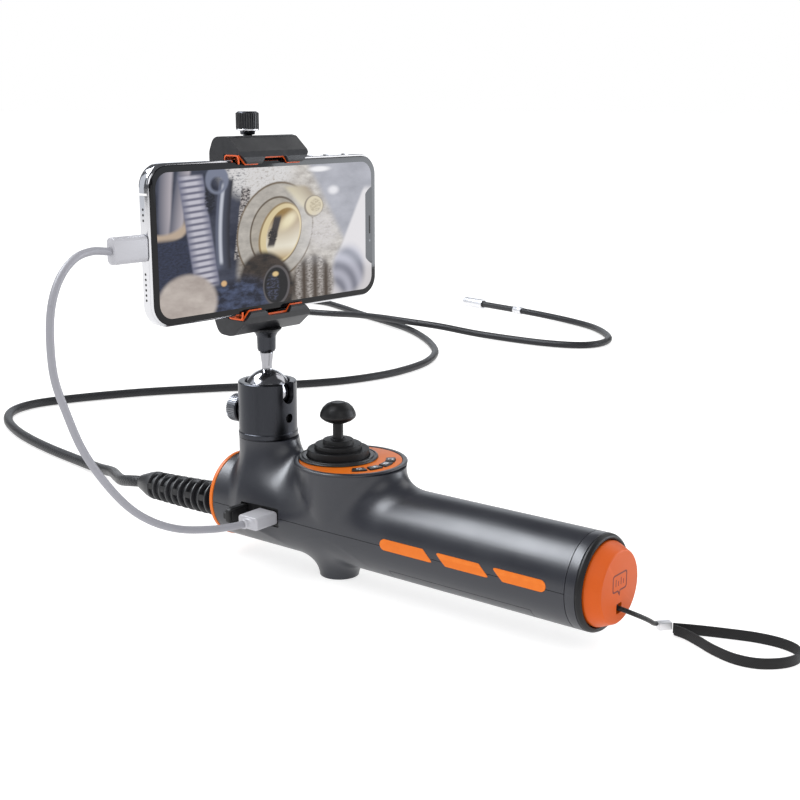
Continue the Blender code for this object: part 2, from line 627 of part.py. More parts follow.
for name, y in (("guide_rod_left", -ROD_Y / MM), ("guide_rod_right", ROD_Y / MM)):
    on_clamp(rod(name, 2.0, 124.4, 213, STEEL, at=(ROD_X / MM, y), steps=12))
knob = turned("clamp_knob", [(0, 218.5), (2.25, 218.5), (2.25, 140), (0, 140)], BLACK_METAL, 16,
              (ROD_X / MM, 0, 0))
knob_collar = rod("knob_collar", 3.9, 216.4, 218.6, at=(ROD_X / MM, 0), cutter=True, steps=20)
knob_head = outline("knob_head", knurled(5.7, 0.35, 16), 218.2, 227.8, cutter=True)
knob_head.location.x = ROD_X
on_clamp(knob, knob_head, knob_collar)
join(knob, knob_collar, knob_head)

lower_pad = outline("lower_jaw_pad", [(-2.6, 127.8), (7.6, 127.8), (7.6, 132.4), (6.95, 132.4), (6.95, 129.5),
                                      (-1.75, 129.5), (-1.75, 135.5), (-2.6, 135.5)], -22, 22, ORANGE_RUBBER,
                    facing="Y")
upper_pad = outline("upper_jaw_pad", [(-2.6, 207.6), (-2.6, 200.5), (-1.75, 200.5), (-1.75, 205.9), (6.95, 205.9),
                                      (6.95, 203), (7.6, 203), (7.6, 207.6)], -22, 22, ORANGE_RUBBER, facing="Y")
on_clamp(lower_pad, upper_pad)

# Phone, a plain one, with the lead's plug in its end
phone_body = outline("phone_body", rounded_rect(PHONE_LENGTH / MM, PHONE_HEIGHT / MM, 11, 6, 0, PHONE_MID_Z / MM),
                     PHONE_BACK / MM, 5.7, PHONE_BAND, facing="X")
soften(phone_body, 1.2 * MM, 2)
phone_glass = outline("phone_glass", rounded_rect(PHONE_LENGTH / MM - 2.4, PHONE_HEIGHT / MM - 2.4, 9.8, 6, 0,
                                                  PHONE_MID_Z / MM), 6.0, PHONE_FRONT / MM, PHONE_GLASS, facing="X")
phone_plug = outline("phone_plug", rounded_rect(6.6, 12.4, 2.6, 4, 2.6, PHONE_MID_Z / MM), 76.4, 94.8, WHITE,
                     facing="Y")
phone_plug.location.y = -(76.4 + 94.8) / 2 * MM
on_clamp(phone_body, phone_glass, phone_plug)

handle_plug = outline("handle_plug", rounded_rect(13, 6.6, 1.6, 4, PORT_X, 30), -36, -21.4, WHITE, facing="Y")
join(handle_plug, rod("plug_neck", 2.5, -39, -35, at=(PORT_X, 30), along="Y", cutter=True, steps=16))
port_flap = box("port_flap", (-45.4, -34.8, 25.8), (-42, -21.6, 34), BLACK_RUBBER, bevel=0.7 * MM)
join(port_flap, box("flap_tab", (-48.4, -33.4, 26.6), (-44, -30, 31.4), cutter=True))
tube("usb_cable", smooth_route(LEAD_ROUTE, 44), LEAD_R, LEAD)

# Snake cable and the bending tip
tube("snake_cable", smooth_route(CABLE_ROUTE, 80), CABLE_R, SNAKE)


def along_tip(name, profile, distance, mat, steps):
    """A turned piece whose own axis lies along the tip, its heights measured from distance."""
    made = turned(name, profile, mat, steps)
    place = RING_START + TIP_DIRECTION * distance
    made.matrix_world = Matrix.Translation(place) @ TIP_DIRECTION.to_track_quat("Z", "Y").to_matrix().to_4x4()
    return made


along_tip("tip_ferrule", [(0, 12.7), (2.8, 12.7), (4.2, 11.8), (4.2, 1), (3.6, 0.3), (0, 0.3)], 0, STEEL, 20)
for number in range(1, LINKS + 1):
    along_tip(f"tip_link_{number}", [(0, 7.7), (3.2, 6.7), (3.2, 2.0), (0, 0.1)],
              RING_LENGTH + (number - 1) * LINK_PITCH, BLACK_RUBBER, 16)
head_start = RING_LENGTH + LINKS * LINK_PITCH
head = along_tip("camera_head", [
    (0, 29), (4.0, 29), (4.0, 30), (4.9, 30), (5.2, 29.6), (5.2, 1.6), (3.6, 0.2), (0, 0.2)], head_start,
    STEEL, 18)
along_tip("lens_window", [(0, 30), (3.7, 30), (3.7, 29.3), (0, 29.3)], head_start, LENS_GLASS, 20)

# Wrist strap
tube("strap_cord", smooth_route(STRAP_CORD_ROUTE, 10), STRAP_CORD_R, WEBBING)
crimp = box("strap_crimp", (-3.2, -2, -1.8), (3.2, 2, 1.8), STEEL, bevel=0.5 * MM)
crimp.location = CRIMP_AT
crimp.rotation_euler = (0, 0, CRIMP_TURN)


def strap_outline():
    """The webbing's centreline, thickened to a closed ribbon that starts and ends at the crimp."""
    centre = smooth_route([(x, y, 0) for x, y in STRAP_ROUTE], 30)[:, :2]
    run = np.gradient(centre, axis=0)
    run /= np.linalg.norm(run, axis=1)[:, None]
    aside = np.stack([-run[:, 1], run[:, 0]], axis=1) * STRAP_HALF_THICK
    return [tuple(p / MM) for p in np.concatenate([centre + aside, (centre - aside)[::-1]])]


outline("strap_loop", strap_outline(), 0.1, 0.1 + STRAP_WIDTH / MM, WEBBING)
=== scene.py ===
"""Looks of the inspection camera: fine surfaces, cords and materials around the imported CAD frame.

Lengths in the pieces are in millimetres and are turned into metres when a mesh is made.
The origin is the middle of the tripod foot's bottom, the handle lies along X, and Z is up.
"""
import bpy
import bmesh
import math
import numpy as np
from mathutils import Matrix, Vector


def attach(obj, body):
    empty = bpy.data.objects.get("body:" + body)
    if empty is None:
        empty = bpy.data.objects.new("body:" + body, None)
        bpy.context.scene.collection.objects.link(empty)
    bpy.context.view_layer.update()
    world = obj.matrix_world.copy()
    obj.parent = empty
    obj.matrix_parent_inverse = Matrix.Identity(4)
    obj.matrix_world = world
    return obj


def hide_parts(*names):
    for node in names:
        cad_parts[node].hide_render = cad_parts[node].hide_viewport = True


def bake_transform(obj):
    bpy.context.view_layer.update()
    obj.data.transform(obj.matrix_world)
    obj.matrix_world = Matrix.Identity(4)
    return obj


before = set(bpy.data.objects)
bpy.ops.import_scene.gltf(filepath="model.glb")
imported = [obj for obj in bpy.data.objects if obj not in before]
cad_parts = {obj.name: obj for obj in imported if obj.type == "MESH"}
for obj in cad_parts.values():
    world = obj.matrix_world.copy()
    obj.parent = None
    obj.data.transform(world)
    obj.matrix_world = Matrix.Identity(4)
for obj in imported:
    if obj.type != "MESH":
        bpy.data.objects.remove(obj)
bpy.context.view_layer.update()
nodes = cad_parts
MM = 0.001

# Driving dimensions, as the CAD has them
AXIS_Z = 30
HANDLE_R = 22
NOSE_X = -67.4
TAIL_X = 144
DECK_X = 8.1
DECK_TOP = 61
DECK_R = 28.1
TOWER_X = -47.5
TOWER_TOP = 64.6
PORT_X = -28.5
BALL_Z = 87.5
BALL_R = 12
LOCK_Z = 76
KEY_ANGLES = (-38.5, -14.5, 9.5, 33.5)
CLAMP_TURN = math.radians(-3.4)
PHONE_LENGTH = 152
PHONE_HEIGHT = 75.6
PHONE_LOW = 129.9
PHONE_MID_Z = PHONE_LOW + PHONE_HEIGHT / 2
INLAY_R = 22.12        # the inlays' faces stand this far from the handle's axis
ROD_X = -10.2
CABLE_R = 3.25
LEAD_R = 1.8
LINKS = 6
LINK_PITCH = 8
RING_LENGTH = 13
RING_START = Vector((-362, 727, 5.5))
TIP_DIRECTION = Vector((-0.978, 0.208, 0)).normalized()

CABLE_ROUTE = [
    (-148.5, 0, 20.9), (-156, 0, 19.9), (-170, 4, 16.9), (-189, 16, 12.8), (-211, 30, 8.6), (-236, 39, 4.8),
    (-266, 46, 3.5), (-300, 52, 3.4), (-334, 60, 3.4), (-364, 70, 3.4), (-392, 84, 3.4), (-413, 103, 3.4),
    (-420, 126, 3.4), (-414, 151, 3.4), (-400, 182, 3.4), (-381, 214, 3.4), (-350, 255, 3.4),
    (-322, 288, 3.4), (-292, 331, 3.4), (-278, 370, 3.4), (-275, 405, 3.4), (-281, 445, 3.4),
    (-300, 484, 3.4), (-330, 518, 3.4), (-367, 549, 3.4), (-402, 572, 3.4), (-440, 590, 3.4),
    (-492, 611, 3.4), (-545, 636, 3.4), (-585, 650, 3.4), (-618, 641, 3.4), (-626, 610, 3.4),
    (-602, 586, 3.4), (-562, 586, 3.4), (-520, 591, 4.2), (-480, 585, 7.6), (-440, 576, 10.2),
    (-400, 571, 10.8), (-362, 576, 9.0), (-326, 584, 5.0), (-288, 588, 3.4), (-248, 589, 3.4),
    (-218, 598, 3.4), (-205, 616, 3.4), (-208, 643, 3.4), (-228, 671, 3.4), (-257, 696, 3.4),
    (-292, 713, 3.5), (-330, 722, 4.6), (-362, 727, 5.5),
]
LEAD_ROUTE = [
    (-50.7, -95.4, 167.7), (-51.3, -105, 168.6), (-50.6, -115, 166.3), (-49.6, -124, 159),
    (-48.5, -130, 148), (-47, -133, 134), (-45, -133.5, 117), (-42.5, -130, 101),
    (-40.8, -124, 84), (-39, -114, 67), (-37.6, -102, 52.5), (-36.2, -89, 42.5), (-34.6, -74, 35.5),
    (-32.6, -57, 31.4), (-30.4, -46, 30.2), (-28.8, -39.4, 30),
]
STRAP_CORD_ROUTE = [
    (155.5, 0, 20.5), (160, 0.4, 20.1), (164, 4, 17.8), (165.4, 10.5, 14.2), (164.9, 17.5, 10.4),
    (163.9, 22.5, 7.6), (163.7, 25.8, 6.2),
]
STRAP_ROUTE = [
    (169.6, 32.2), (175.5, 31.0), (183, 27.6), (193, 22.6), (204, 19.6), (214, 21.4), (222, 28.6),
    (225, 37.6), (221.5, 44.6), (213, 47.6), (202, 46.8), (190, 43), (178, 38.4), (168.0, 33.8),
]
CRIMP_AT = Vector((165.9, 29.2, 4.9))
CRIMP_TURN = math.radians(52)
STRAP_WIDTH = 5


# Camera, floor and light

def set_stage():
    camera = bpy.data.cameras.new("camera")
    camera.lens = 59.46
    camera.sensor_width = 36
    holder = bpy.data.objects.new("camera", camera)
    bpy.context.scene.collection.objects.link(holder)
    holder.location = (0.4142, -0.4782, 0.2360)
    holder.rotation_euler = (math.radians(90 - 13.03), 0, math.radians(38.13))
    bpy.context.scene.camera = holder
    bpy.context.scene.view_settings.view_transform = "Standard"

    world = bpy.data.worlds.new("studio")
    bpy.context.scene.world = world
    world.use_nodes = True
    world.node_tree.nodes["Background"].inputs[0].default_value = (1.0, 1.0, 1.0, 1)
    world.node_tree.nodes["Background"].inputs[1].default_value = 1.0

    white = bpy.data.materials.new("studio_floor")
    white.use_nodes = True
    shader = white.node_tree.nodes["Principled BSDF"]
    shader.inputs["Base Color"].default_value = (0.55, 0.55, 0.55, 1)
    shader.inputs["Roughness"].default_value = 1.0
    shader.inputs["Specular IOR Level"].default_value = 0.0
    shader.inputs["Emission Color"].default_value = (1, 1, 1, 1)
    shader.inputs["Emission Strength"].default_value = 0.66
    bpy.ops.mesh.primitive_plane_add(size=30, location=(0, 0, -0.0003))
    floor = bpy.context.object
    floor.name = "floor"
    floor.data.materials.append(white)


def glow(name, colour, strength):
    made = bpy.data.materials.new(name)
    made.use_nodes = True
    shader = made.node_tree.nodes["Principled BSDF"]
    shader.inputs["Base Color"].default_value = (0, 0, 0, 1)
    shader.inputs["Emission Color"].default_value = (*colour, 1)
    shader.inputs["Emission Strength"].default_value = strength
    return made


def only_reflected(obj):
    """A studio panel that only shows in glossy reflections."""
    obj.visible_camera = False
    obj.visible_diffuse = False
    obj.visible_shadow = False
    obj.visible_transmission = False
    obj.visible_volume_scatter = False


def set_reflections():
    """A dark studio around the object, with soft boxes where the highlights come from."""
    bpy.ops.mesh.primitive_uv_sphere_add(segments=48, ring_count=24, radius=6)
    dome = bpy.context.object
    dome.name = "studio_dome"
    dome.data.materials.append(glow("dome_glow", (0.9, 0.93, 1.0), 0.10))
    only_reflected(dome)
    boxes = [  # direction to the box's middle, distance, width, height, strength
        ("overhead", (-0.50, -0.30, 0.80), 2.6, 2.4, 1.0, 15.0),
        ("left", (-0.95, -0.55, 0.35), 3.0, 1.2, 2.4, 0.9),
        ("behind", (-0.66, 0.72, 0.22), 3.4, 3.2, 1.2, 1.4),
        ("glass", (0.59, 0.75, 0.20), 1.18, 0.40, 0.52, 7.5),
        ("right", (0.95, 0.75, 0.30), 3.0, 1.6, 2.2, 1.6),
        ("front", (0.10, -1.0, 0.55), 3.2, 1.0, 1.4, 1.0),
    ]
    for name, direction, distance, width, height, strength in boxes:
        bpy.ops.mesh.primitive_plane_add(size=1)
        panel = bpy.context.object
        panel.name = "softbox_" + name
        panel.scale = (width, height, 1)
        towards = Vector(direction).normalized()
        panel.location = towards * distance
        panel.rotation_euler = towards.to_track_quat("Z", "Y").to_euler()
        panel.data.materials.append(glow("softbox_" + name, (0.90, 0.94, 1.0), strength))
        only_reflected(panel)
    for name, place, size, power in (("key", (-0.8, -0.9, 1.9), 1.4, 14), ("fill", (1.6, -1.0, 1.1), 1.2, 7),
                                     ("back", (0.2, 1.9, 1.5), 1.4, 10)):
        lamp = bpy.data.lights.new(name, "AREA")
        lamp.size = size
        lamp.energy = power
        holder = bpy.data.objects.new("lamp_" + name, lamp)
        bpy.context.scene.collection.objects.link(holder)
        holder.location = place
        holder.rotation_euler = (Vector((0, 0, 0.08)) - Vector(place)).to_track_quat("-Z", "Y").to_euler()


set_stage()
set_reflections()


# Materials

class Nodes:
    """Short names for the nodes that the materials are made of."""

    def __init__(self, made):
        self.tree = made.node_tree
        self.shader = made.node_tree.nodes["Principled BSDF"]

    def add(self, kind, **settings):
        node = self.tree.nodes.new(kind)
        for key, value in settings.items():
            setattr(node, key, value)
        return node

    def plug(self, socket, value):
        if isinstance(value, bpy.types.NodeSocket):
            self.tree.links.new(value, socket)
        elif isinstance(value, (tuple, list)) and len(value) == 3 and socket.type == "RGBA":
            socket.default_value = (*value, 1)
        else:
            socket.default_value = value

    def math(self, operation, *values):
        node = self.add("ShaderNodeMath", operation=operation)
        for socket, value in zip(node.inputs, values):
            self.plug(socket, value)
        return node.outputs[0]

    def place(self, kind="Object"):
        return self.add("ShaderNodeTexCoord").outputs[kind]

    def split(self, vector):
        node = self.add("ShaderNodeSeparateXYZ")
        self.plug(node.inputs[0], vector)
        return node.outputs[0], node.outputs[1], node.outputs[2]

    def noise(self, scale, detail=2.0, roughness=0.5, vector=None, distortion=0.0):
        node = self.add("ShaderNodeTexNoise")
        self.plug(node.inputs["Vector"], vector or self.place())
        node.inputs["Scale"].default_value = scale
        node.inputs["Detail"].default_value = detail
        node.inputs["Roughness"].default_value = roughness
        node.inputs["Distortion"].default_value = distortion
        return node.outputs["Fac"]

    def span(self, value, low, high, to_low=0.0, to_high=1.0, smooth=False):
        node = self.add("ShaderNodeMapRange", interpolation_type="SMOOTHSTEP" if smooth else "LINEAR")
        for socket, given in zip(node.inputs, (value, low, high, to_low, to_high)):
            self.plug(socket, given)
        return node.outputs[0]

    def mix(self, share, a, b, blend="MIX"):
        node = self.add("ShaderNodeMix", data_type="RGBA", blend_type=blend)
        self.plug(node.inputs[0], share)
        self.plug(node.inputs[6], a)
        self.plug(node.inputs[7], b)
        return node.outputs[2]

    def bump(self, height, strength, distance, under=None):
        node = self.add("ShaderNodeBump")
        node.inputs["Strength"].default_value = strength
        node.inputs["Distance"].default_value = distance
        self.plug(node.inputs["Height"], height)
        if under:
            self.plug(node.inputs["Normal"], under)
        return node.outputs[0]


def material(name, colour, roughness, metallic=0.0, **sockets):
    made = bpy.data.materials.new(name)
    made.use_nodes = True
    n = Nodes(made)
    n.shader.inputs["Base Color"].default_value = (*colour, 1)
    n.shader.inputs["Roughness"].default_value = roughness
    n.shader.inputs["Metallic"].default_value = metallic
    for key, value in sockets.items():
        n.shader.inputs[key.replace("_", " ")].default_value = value
    return made, n


def moulded(name, colour, roughness, grain=0.35, grain_size=0.45, variation=0.12, wear=0.0, **sockets):
    """Moulded plastic or rubber: fine grain, a little uneven gloss, and paler worn edges."""
    made, n = material(name, colour, roughness, **sockets)
    patches = n.noise(45, 4, 0.6)
    n.plug(n.shader.inputs["Roughness"], n.span(patches, 0.3, 0.7, roughness - variation / 2,
                                                roughness + variation / 2))
    tone = n.mix(n.span(n.noise(22, 3), 0.3, 0.7), [c * 0.93 for c in colour], [c * 1.07 for c in colour])
    if wear:
        edge = n.add("ShaderNodeNewGeometry").outputs["Pointiness"]
        rub = n.math("MULTIPLY", n.span(edge, 0.53, 0.62), n.span(n.noise(260, 3), 0.35, 0.65, 0.3, 1))
        tone = n.mix(n.math("MULTIPLY", rub, wear), tone, [min(c * 2.2 + 0.05, 1) for c in colour])
    n.plug(n.shader.inputs["Base Color"], tone)
    pits = n.noise(1000 / grain_size, 2, 0.6)
    n.plug(n.shader.inputs["Normal"], n.bump(pits, grain, 0.00003))
    return made


def metal(name, colour, roughness, streak=0.15, along=0):
    """Turned or drawn metal: hair lines along one axis and a soft wander in gloss."""
    made, n = material(name, colour, roughness, 1.0)
    stretch = n.add("ShaderNodeMapping")
    n.plug(stretch.inputs["Vector"], n.place())
    scale = [2600.0, 2600.0, 2600.0]
    scale[along] = 60.0
    stretch.inputs["Scale"].default_value = scale
    lines = n.noise(1.0, 2, 0.5, stretch.outputs[0])
    n.plug(n.shader.inputs["Roughness"], n.span(lines, 0.3, 0.7, max(roughness - streak / 2, 0.03),
                                                roughness + streak / 2))
    n.plug(n.shader.inputs["Base Color"], n.mix(n.span(n.noise(30, 3), 0.3, 0.7), [c * 0.94 for c in colour],
        colour))
    return made


GRAPHITE = moulded("graphite_shell", (0.017, 0.0185, 0.026), 0.34, 0.30, 0.5, 0.08, 0.25,
    Specular_IOR_Level=0.55)
ORANGE = moulded("orange_moulding", (0.64, 0.135, 0.003), 0.42, 0.25, 0.5, 0.10, 0.15, Specular_IOR_Level=0.3)
# a darker, redder copy of the moulding orange: painted shade of the cap's face, which is turned from the
# light
CAP_ORANGE_SHADED = moulded("orange_cap_shaded", (0.52, 0.078, 0.002), 0.46, 0.30, 0.5, 0.10, 0.10, Specular_IOR_Level=0.25)
BLACK_PLASTIC = moulded("black_moulding", (0.012, 0.0125, 0.014), 0.36, 0.25, 0.4, 0.10, 0.35)
JAW_PLASTIC = moulded("jaw_moulding", (0.012, 0.0125, 0.015), 0.38, 0.35, 0.4, 0.10, 0.20,
    Specular_IOR_Level=0.32)
BLACK_RUBBER = moulded("black_rubber", (0.007, 0.007, 0.008), 0.48, 0.55, 0.35, 0.14, 0.35,
    Specular_IOR_Level=0.28)
KNOB_RUBBER = moulded("knob_rubber", (0.007, 0.0072, 0.008), 0.42, 0.45, 0.30, 0.12, 0.3,
    Specular_IOR_Level=0.3)
LINER = moulded("orange_silicone", (0.66, 0.085, 0.004), 0.5, 0.3, 0.4, 0.1)
BLACK_METAL = metal("black_anodised", (0.045, 0.047, 0.054), 0.30, 0.06, 2)
KNURL_METAL = metal("knurled_edge", (0.20, 0.205, 0.22), 0.34, 0.12, 0)
CHROME = metal("polished_ball", (0.34, 0.34, 0.36), 0.14, 0.03, 2)
STEEL = metal("plain_steel", (0.56, 0.56, 0.58), 0.30, 0.15, 2)
SILVER = metal("satin_silver", (0.80, 0.80, 0.82), 0.42, 0.10, 0)
BAND_METAL = metal("phone_band", (0.60, 0.60, 0.62), 0.09, 0.03, 1)
WHITE = moulded("white_plug", (0.40, 0.40, 0.43), 0.36, 0.15, 0.5, 0.08)
LEAD_SKIN = moulded("lead_skin", (0.26, 0.26, 0.29), 0.45, 0.3, 0.4, 0.10)
SHEATH = moulded("tip_sheath", (0.014, 0.0145, 0.017), 0.5, 0.5, 0.3, 0.12)
BOARD = moulded("circuit_board", (0.02, 0.12, 0.05), 0.5, 0.3, 0.8)
CELL = moulded("cell_sleeve", (0.05, 0.2, 0.45), 0.35, 0.1, 0.8)
KEY_ICON = moulded("key_icon", (0.62, 0.64, 0.68), 0.45, 0.1, 0.4)
# dark red-brown, a shaded copy of the cap's orange: painted shade of the sign's engraved grooves
ENGRAVING_SHADE = moulded("cap_engraving_shade", (0.12, 0.012, 0.002), 0.6, 0.2, 0.4)
BOOT_RUBBER = moulded("boot_rubber", (0.015, 0.0155, 0.018), 0.40, 0.45, 0.35, 0.12, 0.3)
DARK = moulded("deep_shadow", (0.004, 0.004, 0.004), 0.7, 0.2, 0.5)
BACK_GLASS = moulded("phone_back_glass", (0.06, 0.062, 0.068), 0.12, 0.05, 0.5, 0.04)
LENS_GLASS = moulded("lens_glass", (0.01, 0.012, 0.02), 0.05, 0.03, 0.5, 0.02)


def woven(name, colour, pale, pitch, turns, roughness):
    """A braided sleeve from the tube's own UV: u runs along it in millimetres, v once around."""
    made, n = material(name, colour, roughness, Sheen_Weight=0.03, Specular_IOR_Level=0.3)
    along, around, _ = n.split(n.place("UV"))
    run = n.math("DIVIDE", along, pitch)
    both = []
    for sign in (1, -1):
        phase = n.math("MULTIPLY_ADD", around, sign * turns, run)
        wave = n.math("SINE", n.math("MULTIPLY", phase, 2 * math.pi))
        both.append(wave)
    weave = n.math("MULTIPLY_ADD", n.math("MAXIMUM", *both), 0.5, 0.5)
    n.plug(n.shader.inputs["Base Color"], n.mix(n.span(weave, 0.35, 1.0, smooth=True), colour, pale))
    n.plug(n.shader.inputs["Roughness"], n.span(weave, 0, 1, roughness + 0.12, roughness - 0.06))
    fuzz = n.noise(2600, 2)
    n.plug(n.shader.inputs["Normal"], n.bump(weave, 0.8, 0.00016, n.bump(fuzz, 0.2, 0.00003)))
    return made


SNAKE_SKIN = woven("snake_sleeve", (0.006, 0.006, 0.007), (0.016, 0.0165, 0.020), 2.6, 9, 0.42)
WEBBING = woven("strap_webbing", (0.006, 0.006, 0.0065), (0.011, 0.011, 0.012), 0.9, 8, 0.6)
STRAP_CORD_SKIN = woven("strap_cord_braid", (0.004, 0.004, 0.0045), (0.012, 0.012, 0.013), 1.5, 4, 0.5)


# Mesh building blocks

def made_object(name, mesh, mat, angle=35):
    for polygon in mesh.polygons:
        polygon.use_smooth = True
    mesh.set_sharp_from_angle(angle=math.radians(angle))
    mesh.materials.append(mat)
    made = bpy.data.objects.new(name, mesh)
    bpy.context.scene.collection.objects.link(made)
    return made


def from_points(name, points, faces, mat, angle=35, turn=None):
    """A mesh from points in millimetres; turn is a matrix in metres put on afterwards."""
    mesh = bpy.data.meshes.new(name)
    mesh.from_pydata([tuple(float(c) * MM for c in p) for p in points], [], faces)
    bm = bmesh.new()
    bm.from_mesh(mesh)
    bmesh.ops.remove_doubles(bm, verts=bm.verts, dist=0.0000005)
    bmesh.ops.recalc_face_normals(bm, faces=bm.faces)
    bm.to_mesh(mesh)
    bm.free()
    if turn:
        mesh.transform(turn)
    return made_object(name, mesh, mat, angle)


def arc(radius, start, end, count, cx=0.0, cy=0.0):
    angles = np.radians(np.linspace(start, end, count))
    return [(cx + radius * math.cos(a), cy + radius * math.sin(a)) for a in angles]


def rounded(points, radius, closed=True, count=4, least=18):
    """Replace each corner of an outline by a small curve; radius may be given for each corner."""
    points = [np.array(p, float) for p in points]
    radii = radius if isinstance(radius, (list, tuple)) else [radius] * len(points)
    result = []
    for i, (corner, r) in enumerate(zip(points, radii)):
        if not closed and i in (0, len(points) - 1):
            result.append(corner)
            continue
        before, after = points[i - 1] - corner, points[(i + 1) % len(points)] - corner
        lb, la = np.linalg.norm(before), np.linalg.norm(after)
        bend = math.degrees(math.acos(np.clip(-before @ after / (lb * la), -1, 1)))
        if bend < least or r <= 0:
            result.append(corner)
            continue
        reach = min(r * math.tan(math.radians(bend) / 2), lb * 0.45, la * 0.45)
        a, b = corner + before / lb * reach, corner + after / la * reach
        for t in np.linspace(0, 1, count):
            result.append((1 - t) ** 2 * a + 2 * t * (1 - t) * corner + t * t * b)
    return [tuple(p) for p in result]


AXIS_TURNS = {"Z": Matrix.Identity(4), "X": Matrix.Rotation(math.radians(90), 4, "Y"),
              "Y": Matrix.Rotation(math.radians(-90), 4, "X")}


def lathe(name, profile, mat, at=(0, 0, 0), along="Z", steps=96, ring=False, round_by=0.25, turn=None):
    """Turn (radius, height) pairs about an axis, with every hard corner rounded a little."""
    profile = rounded(profile, round_by, closed=ring)
    points, faces = [], []
    count = len(profile)
    for k in range(steps):
        a = 2 * math.pi * k / steps
        points += [(r * math.cos(a), r * math.sin(a), z) for r, z in profile]
    for k in range(steps):
        n = (k + 1) % steps
        for i in range(count if ring else count - 1):
            j = (i + 1) % count
            faces.append((k * count + i, k * count + j, n * count + j, n * count + i))
    place = (turn or Matrix.Identity(4)) @ Matrix.Translation(Vector(at) * MM) @ AXIS_TURNS[along]
    return from_points(name, points, faces, mat, 40, place)


def smooth_route(route, step):
    """Points about a step apart on a Catmull-Rom curve through the route, in millimetres."""
    knots = [np.array(p, float) for p in route]
    knots = [2 * knots[0] - knots[1]] + knots + [2 * knots[-1] - knots[-2]]
    dense = []
    for p0, p1, p2, p3 in zip(knots, knots[1:], knots[2:], knots[3:]):
        for t in np.linspace(0, 1, 24, endpoint=False):
            dense.append(0.5 * (2 * p1 + (p2 - p0) * t + (2 * p0 - 5 * p1 + 4 * p2 - p3) * t * t
                                + (3 * p1 - p0 - 3 * p2 + p3) * t ** 3))
    dense.append(knots[-2])
    dense = np.array(dense)
    run = np.concatenate([[0], np.cumsum(np.linalg.norm(np.diff(dense, axis=0), axis=1))])
    wanted = np.linspace(0, run[-1], max(int(run[-1] / step), 2) + 1)
    return np.stack([np.interp(wanted, run, dense[:, k]) for k in range(3)], axis=1)


def frames_along(path):
    """A tangent and two normals at each point, carried along without twisting."""
    tangents = np.gradient(path, axis=0)
    tangents /= np.linalg.norm(tangents, axis=1)[:, None]
    side = np.cross(tangents[0], (0, 0, 1))
    if np.linalg.norm(side) < 0.1:
        side = np.cross(tangents[0], (0, 1, 0))
    sides = []
    for t in tangents:
        side = side - t * (side @ t)
        side /= np.linalg.norm(side)
        sides.append(side.copy())
    sides = np.array(sides)
    return tangents, sides, np.cross(tangents, sides)


def sweep(name, path, radii, mat, sides=20, start_run=0.0):
    """A tube along a path, with UVs in millimetres along it and once around; radii may vary."""
    path = np.array(path, float)
    radii = np.full(len(path), radii) if np.isscalar(radii) else np.array(radii, float)
    _, first, second = frames_along(path)
    angles = np.linspace(0, 2 * math.pi, sides, endpoint=False)
    rings = (path[:, None] + radii[:, None, None] * (np.cos(angles)[None, :, None] * first[:, None]
             + np.sin(angles)[None, :, None] * second[:, None]))
    mesh = bpy.data.meshes.new(name)
    bm = bmesh.new()
    layer = bm.loops.layers.uv.new("along")
    run = start_run + np.concatenate([[0], np.cumsum(np.linalg.norm(np.diff(path, axis=0), axis=1))])
    verts = [[bm.verts.new(tuple(p * MM)) for p in ring] for ring in rings]
    for i in range(len(path) - 1):
        for k in range(sides):
            n = (k + 1) % sides
            face = bm.faces.new((verts[i][k], verts[i][n], verts[i + 1][n], verts[i + 1][k]))
            for loop, (a, b) in zip(face.loops, ((i, k), (i, k + 1), (i + 1, k + 1), (i + 1, k))):
                loop[layer].uv = (run[a], b / sides)
    bm.faces.new(list(reversed(verts[0])))
    bm.faces.new(verts[-1])
    bmesh.ops.recalc_face_normals(bm, faces=bm.faces)
    bm.to_mesh(mesh)
    bm.free()
    return made_object(name, mesh, mat, 50)


FACING = {"Z": Matrix.Identity(4),
          "Y": Matrix(((1, 0, 0, 0), (0, 0, 1, 0), (0, 1, 0, 0), (0, 0, 0, 1))),    # pairs are (x, z)
          "X": Matrix(((0, 0, 1, 0), (1, 0, 0, 0), (0, 1, 0, 0), (0, 0, 0, 1)))}    # pairs are (y, z)


def prism(name, outline, low, high, mat, facing="Z", bevel=0.3, segments=2, turn=None, angle=30):
    """Extrude an outline between two heights and round the rims of its two ends."""
    bm = bmesh.new()
    bottom = [bm.verts.new((a * MM, b * MM, low * MM)) for a, b in outline]
    top = [bm.verts.new((a * MM, b * MM, high * MM)) for a, b in outline]
    bm.faces.new(list(reversed(bottom)))
    bm.faces.new(top)
    for i in range(len(outline)):
        j = (i + 1) % len(outline)
        bm.faces.new((bottom[i], bottom[j], top[j], top[i]))
    bm.transform(FACING[facing])
    bmesh.ops.recalc_face_normals(bm, faces=bm.faces)
    if bevel:
        caps = [f for f in bm.faces if len(f.verts) == len(outline)]
        rims = list({e for f in caps for e in f.edges})
        bmesh.ops.bevel(bm, geom=rims, offset=bevel * MM, segments=segments, profile=0.5, affect="EDGES",
                        clamp_overlap=True)
    mesh = bpy.data.meshes.new(name)
    bm.to_mesh(mesh)
    bm.free()
    if turn:
        mesh.transform(turn)
    return made_object(name, mesh, mat, angle)


def rect(x0, y0, x1, y1):
    """The four corners of an outline, from one corner to the opposite one."""
    return [(x0, y0), (x1, y0), (x1, y1), (x0, y1)]


def block(name, low, high, mat, radius=0.6, bevel=0.3, turn=None):
    """A box with rounded upright edges and softened rims, between two corners."""
    return prism(name, rounded(rect(*low[:2], *high[:2]), radius, count=5), low[2], high[2], mat, "Z", bevel,
        3, turn)


def cut_once(target, tool, operation, solver):
    step = target.modifiers.new("cut", "BOOLEAN")
    step.operation = operation
    step.solver = solver
    step.object = tool
    graph = bpy.context.evaluated_depsgraph_get()
    mesh = bpy.data.meshes.new_from_object(target.evaluated_get(graph))
    target.modifiers.clear()
    return mesh


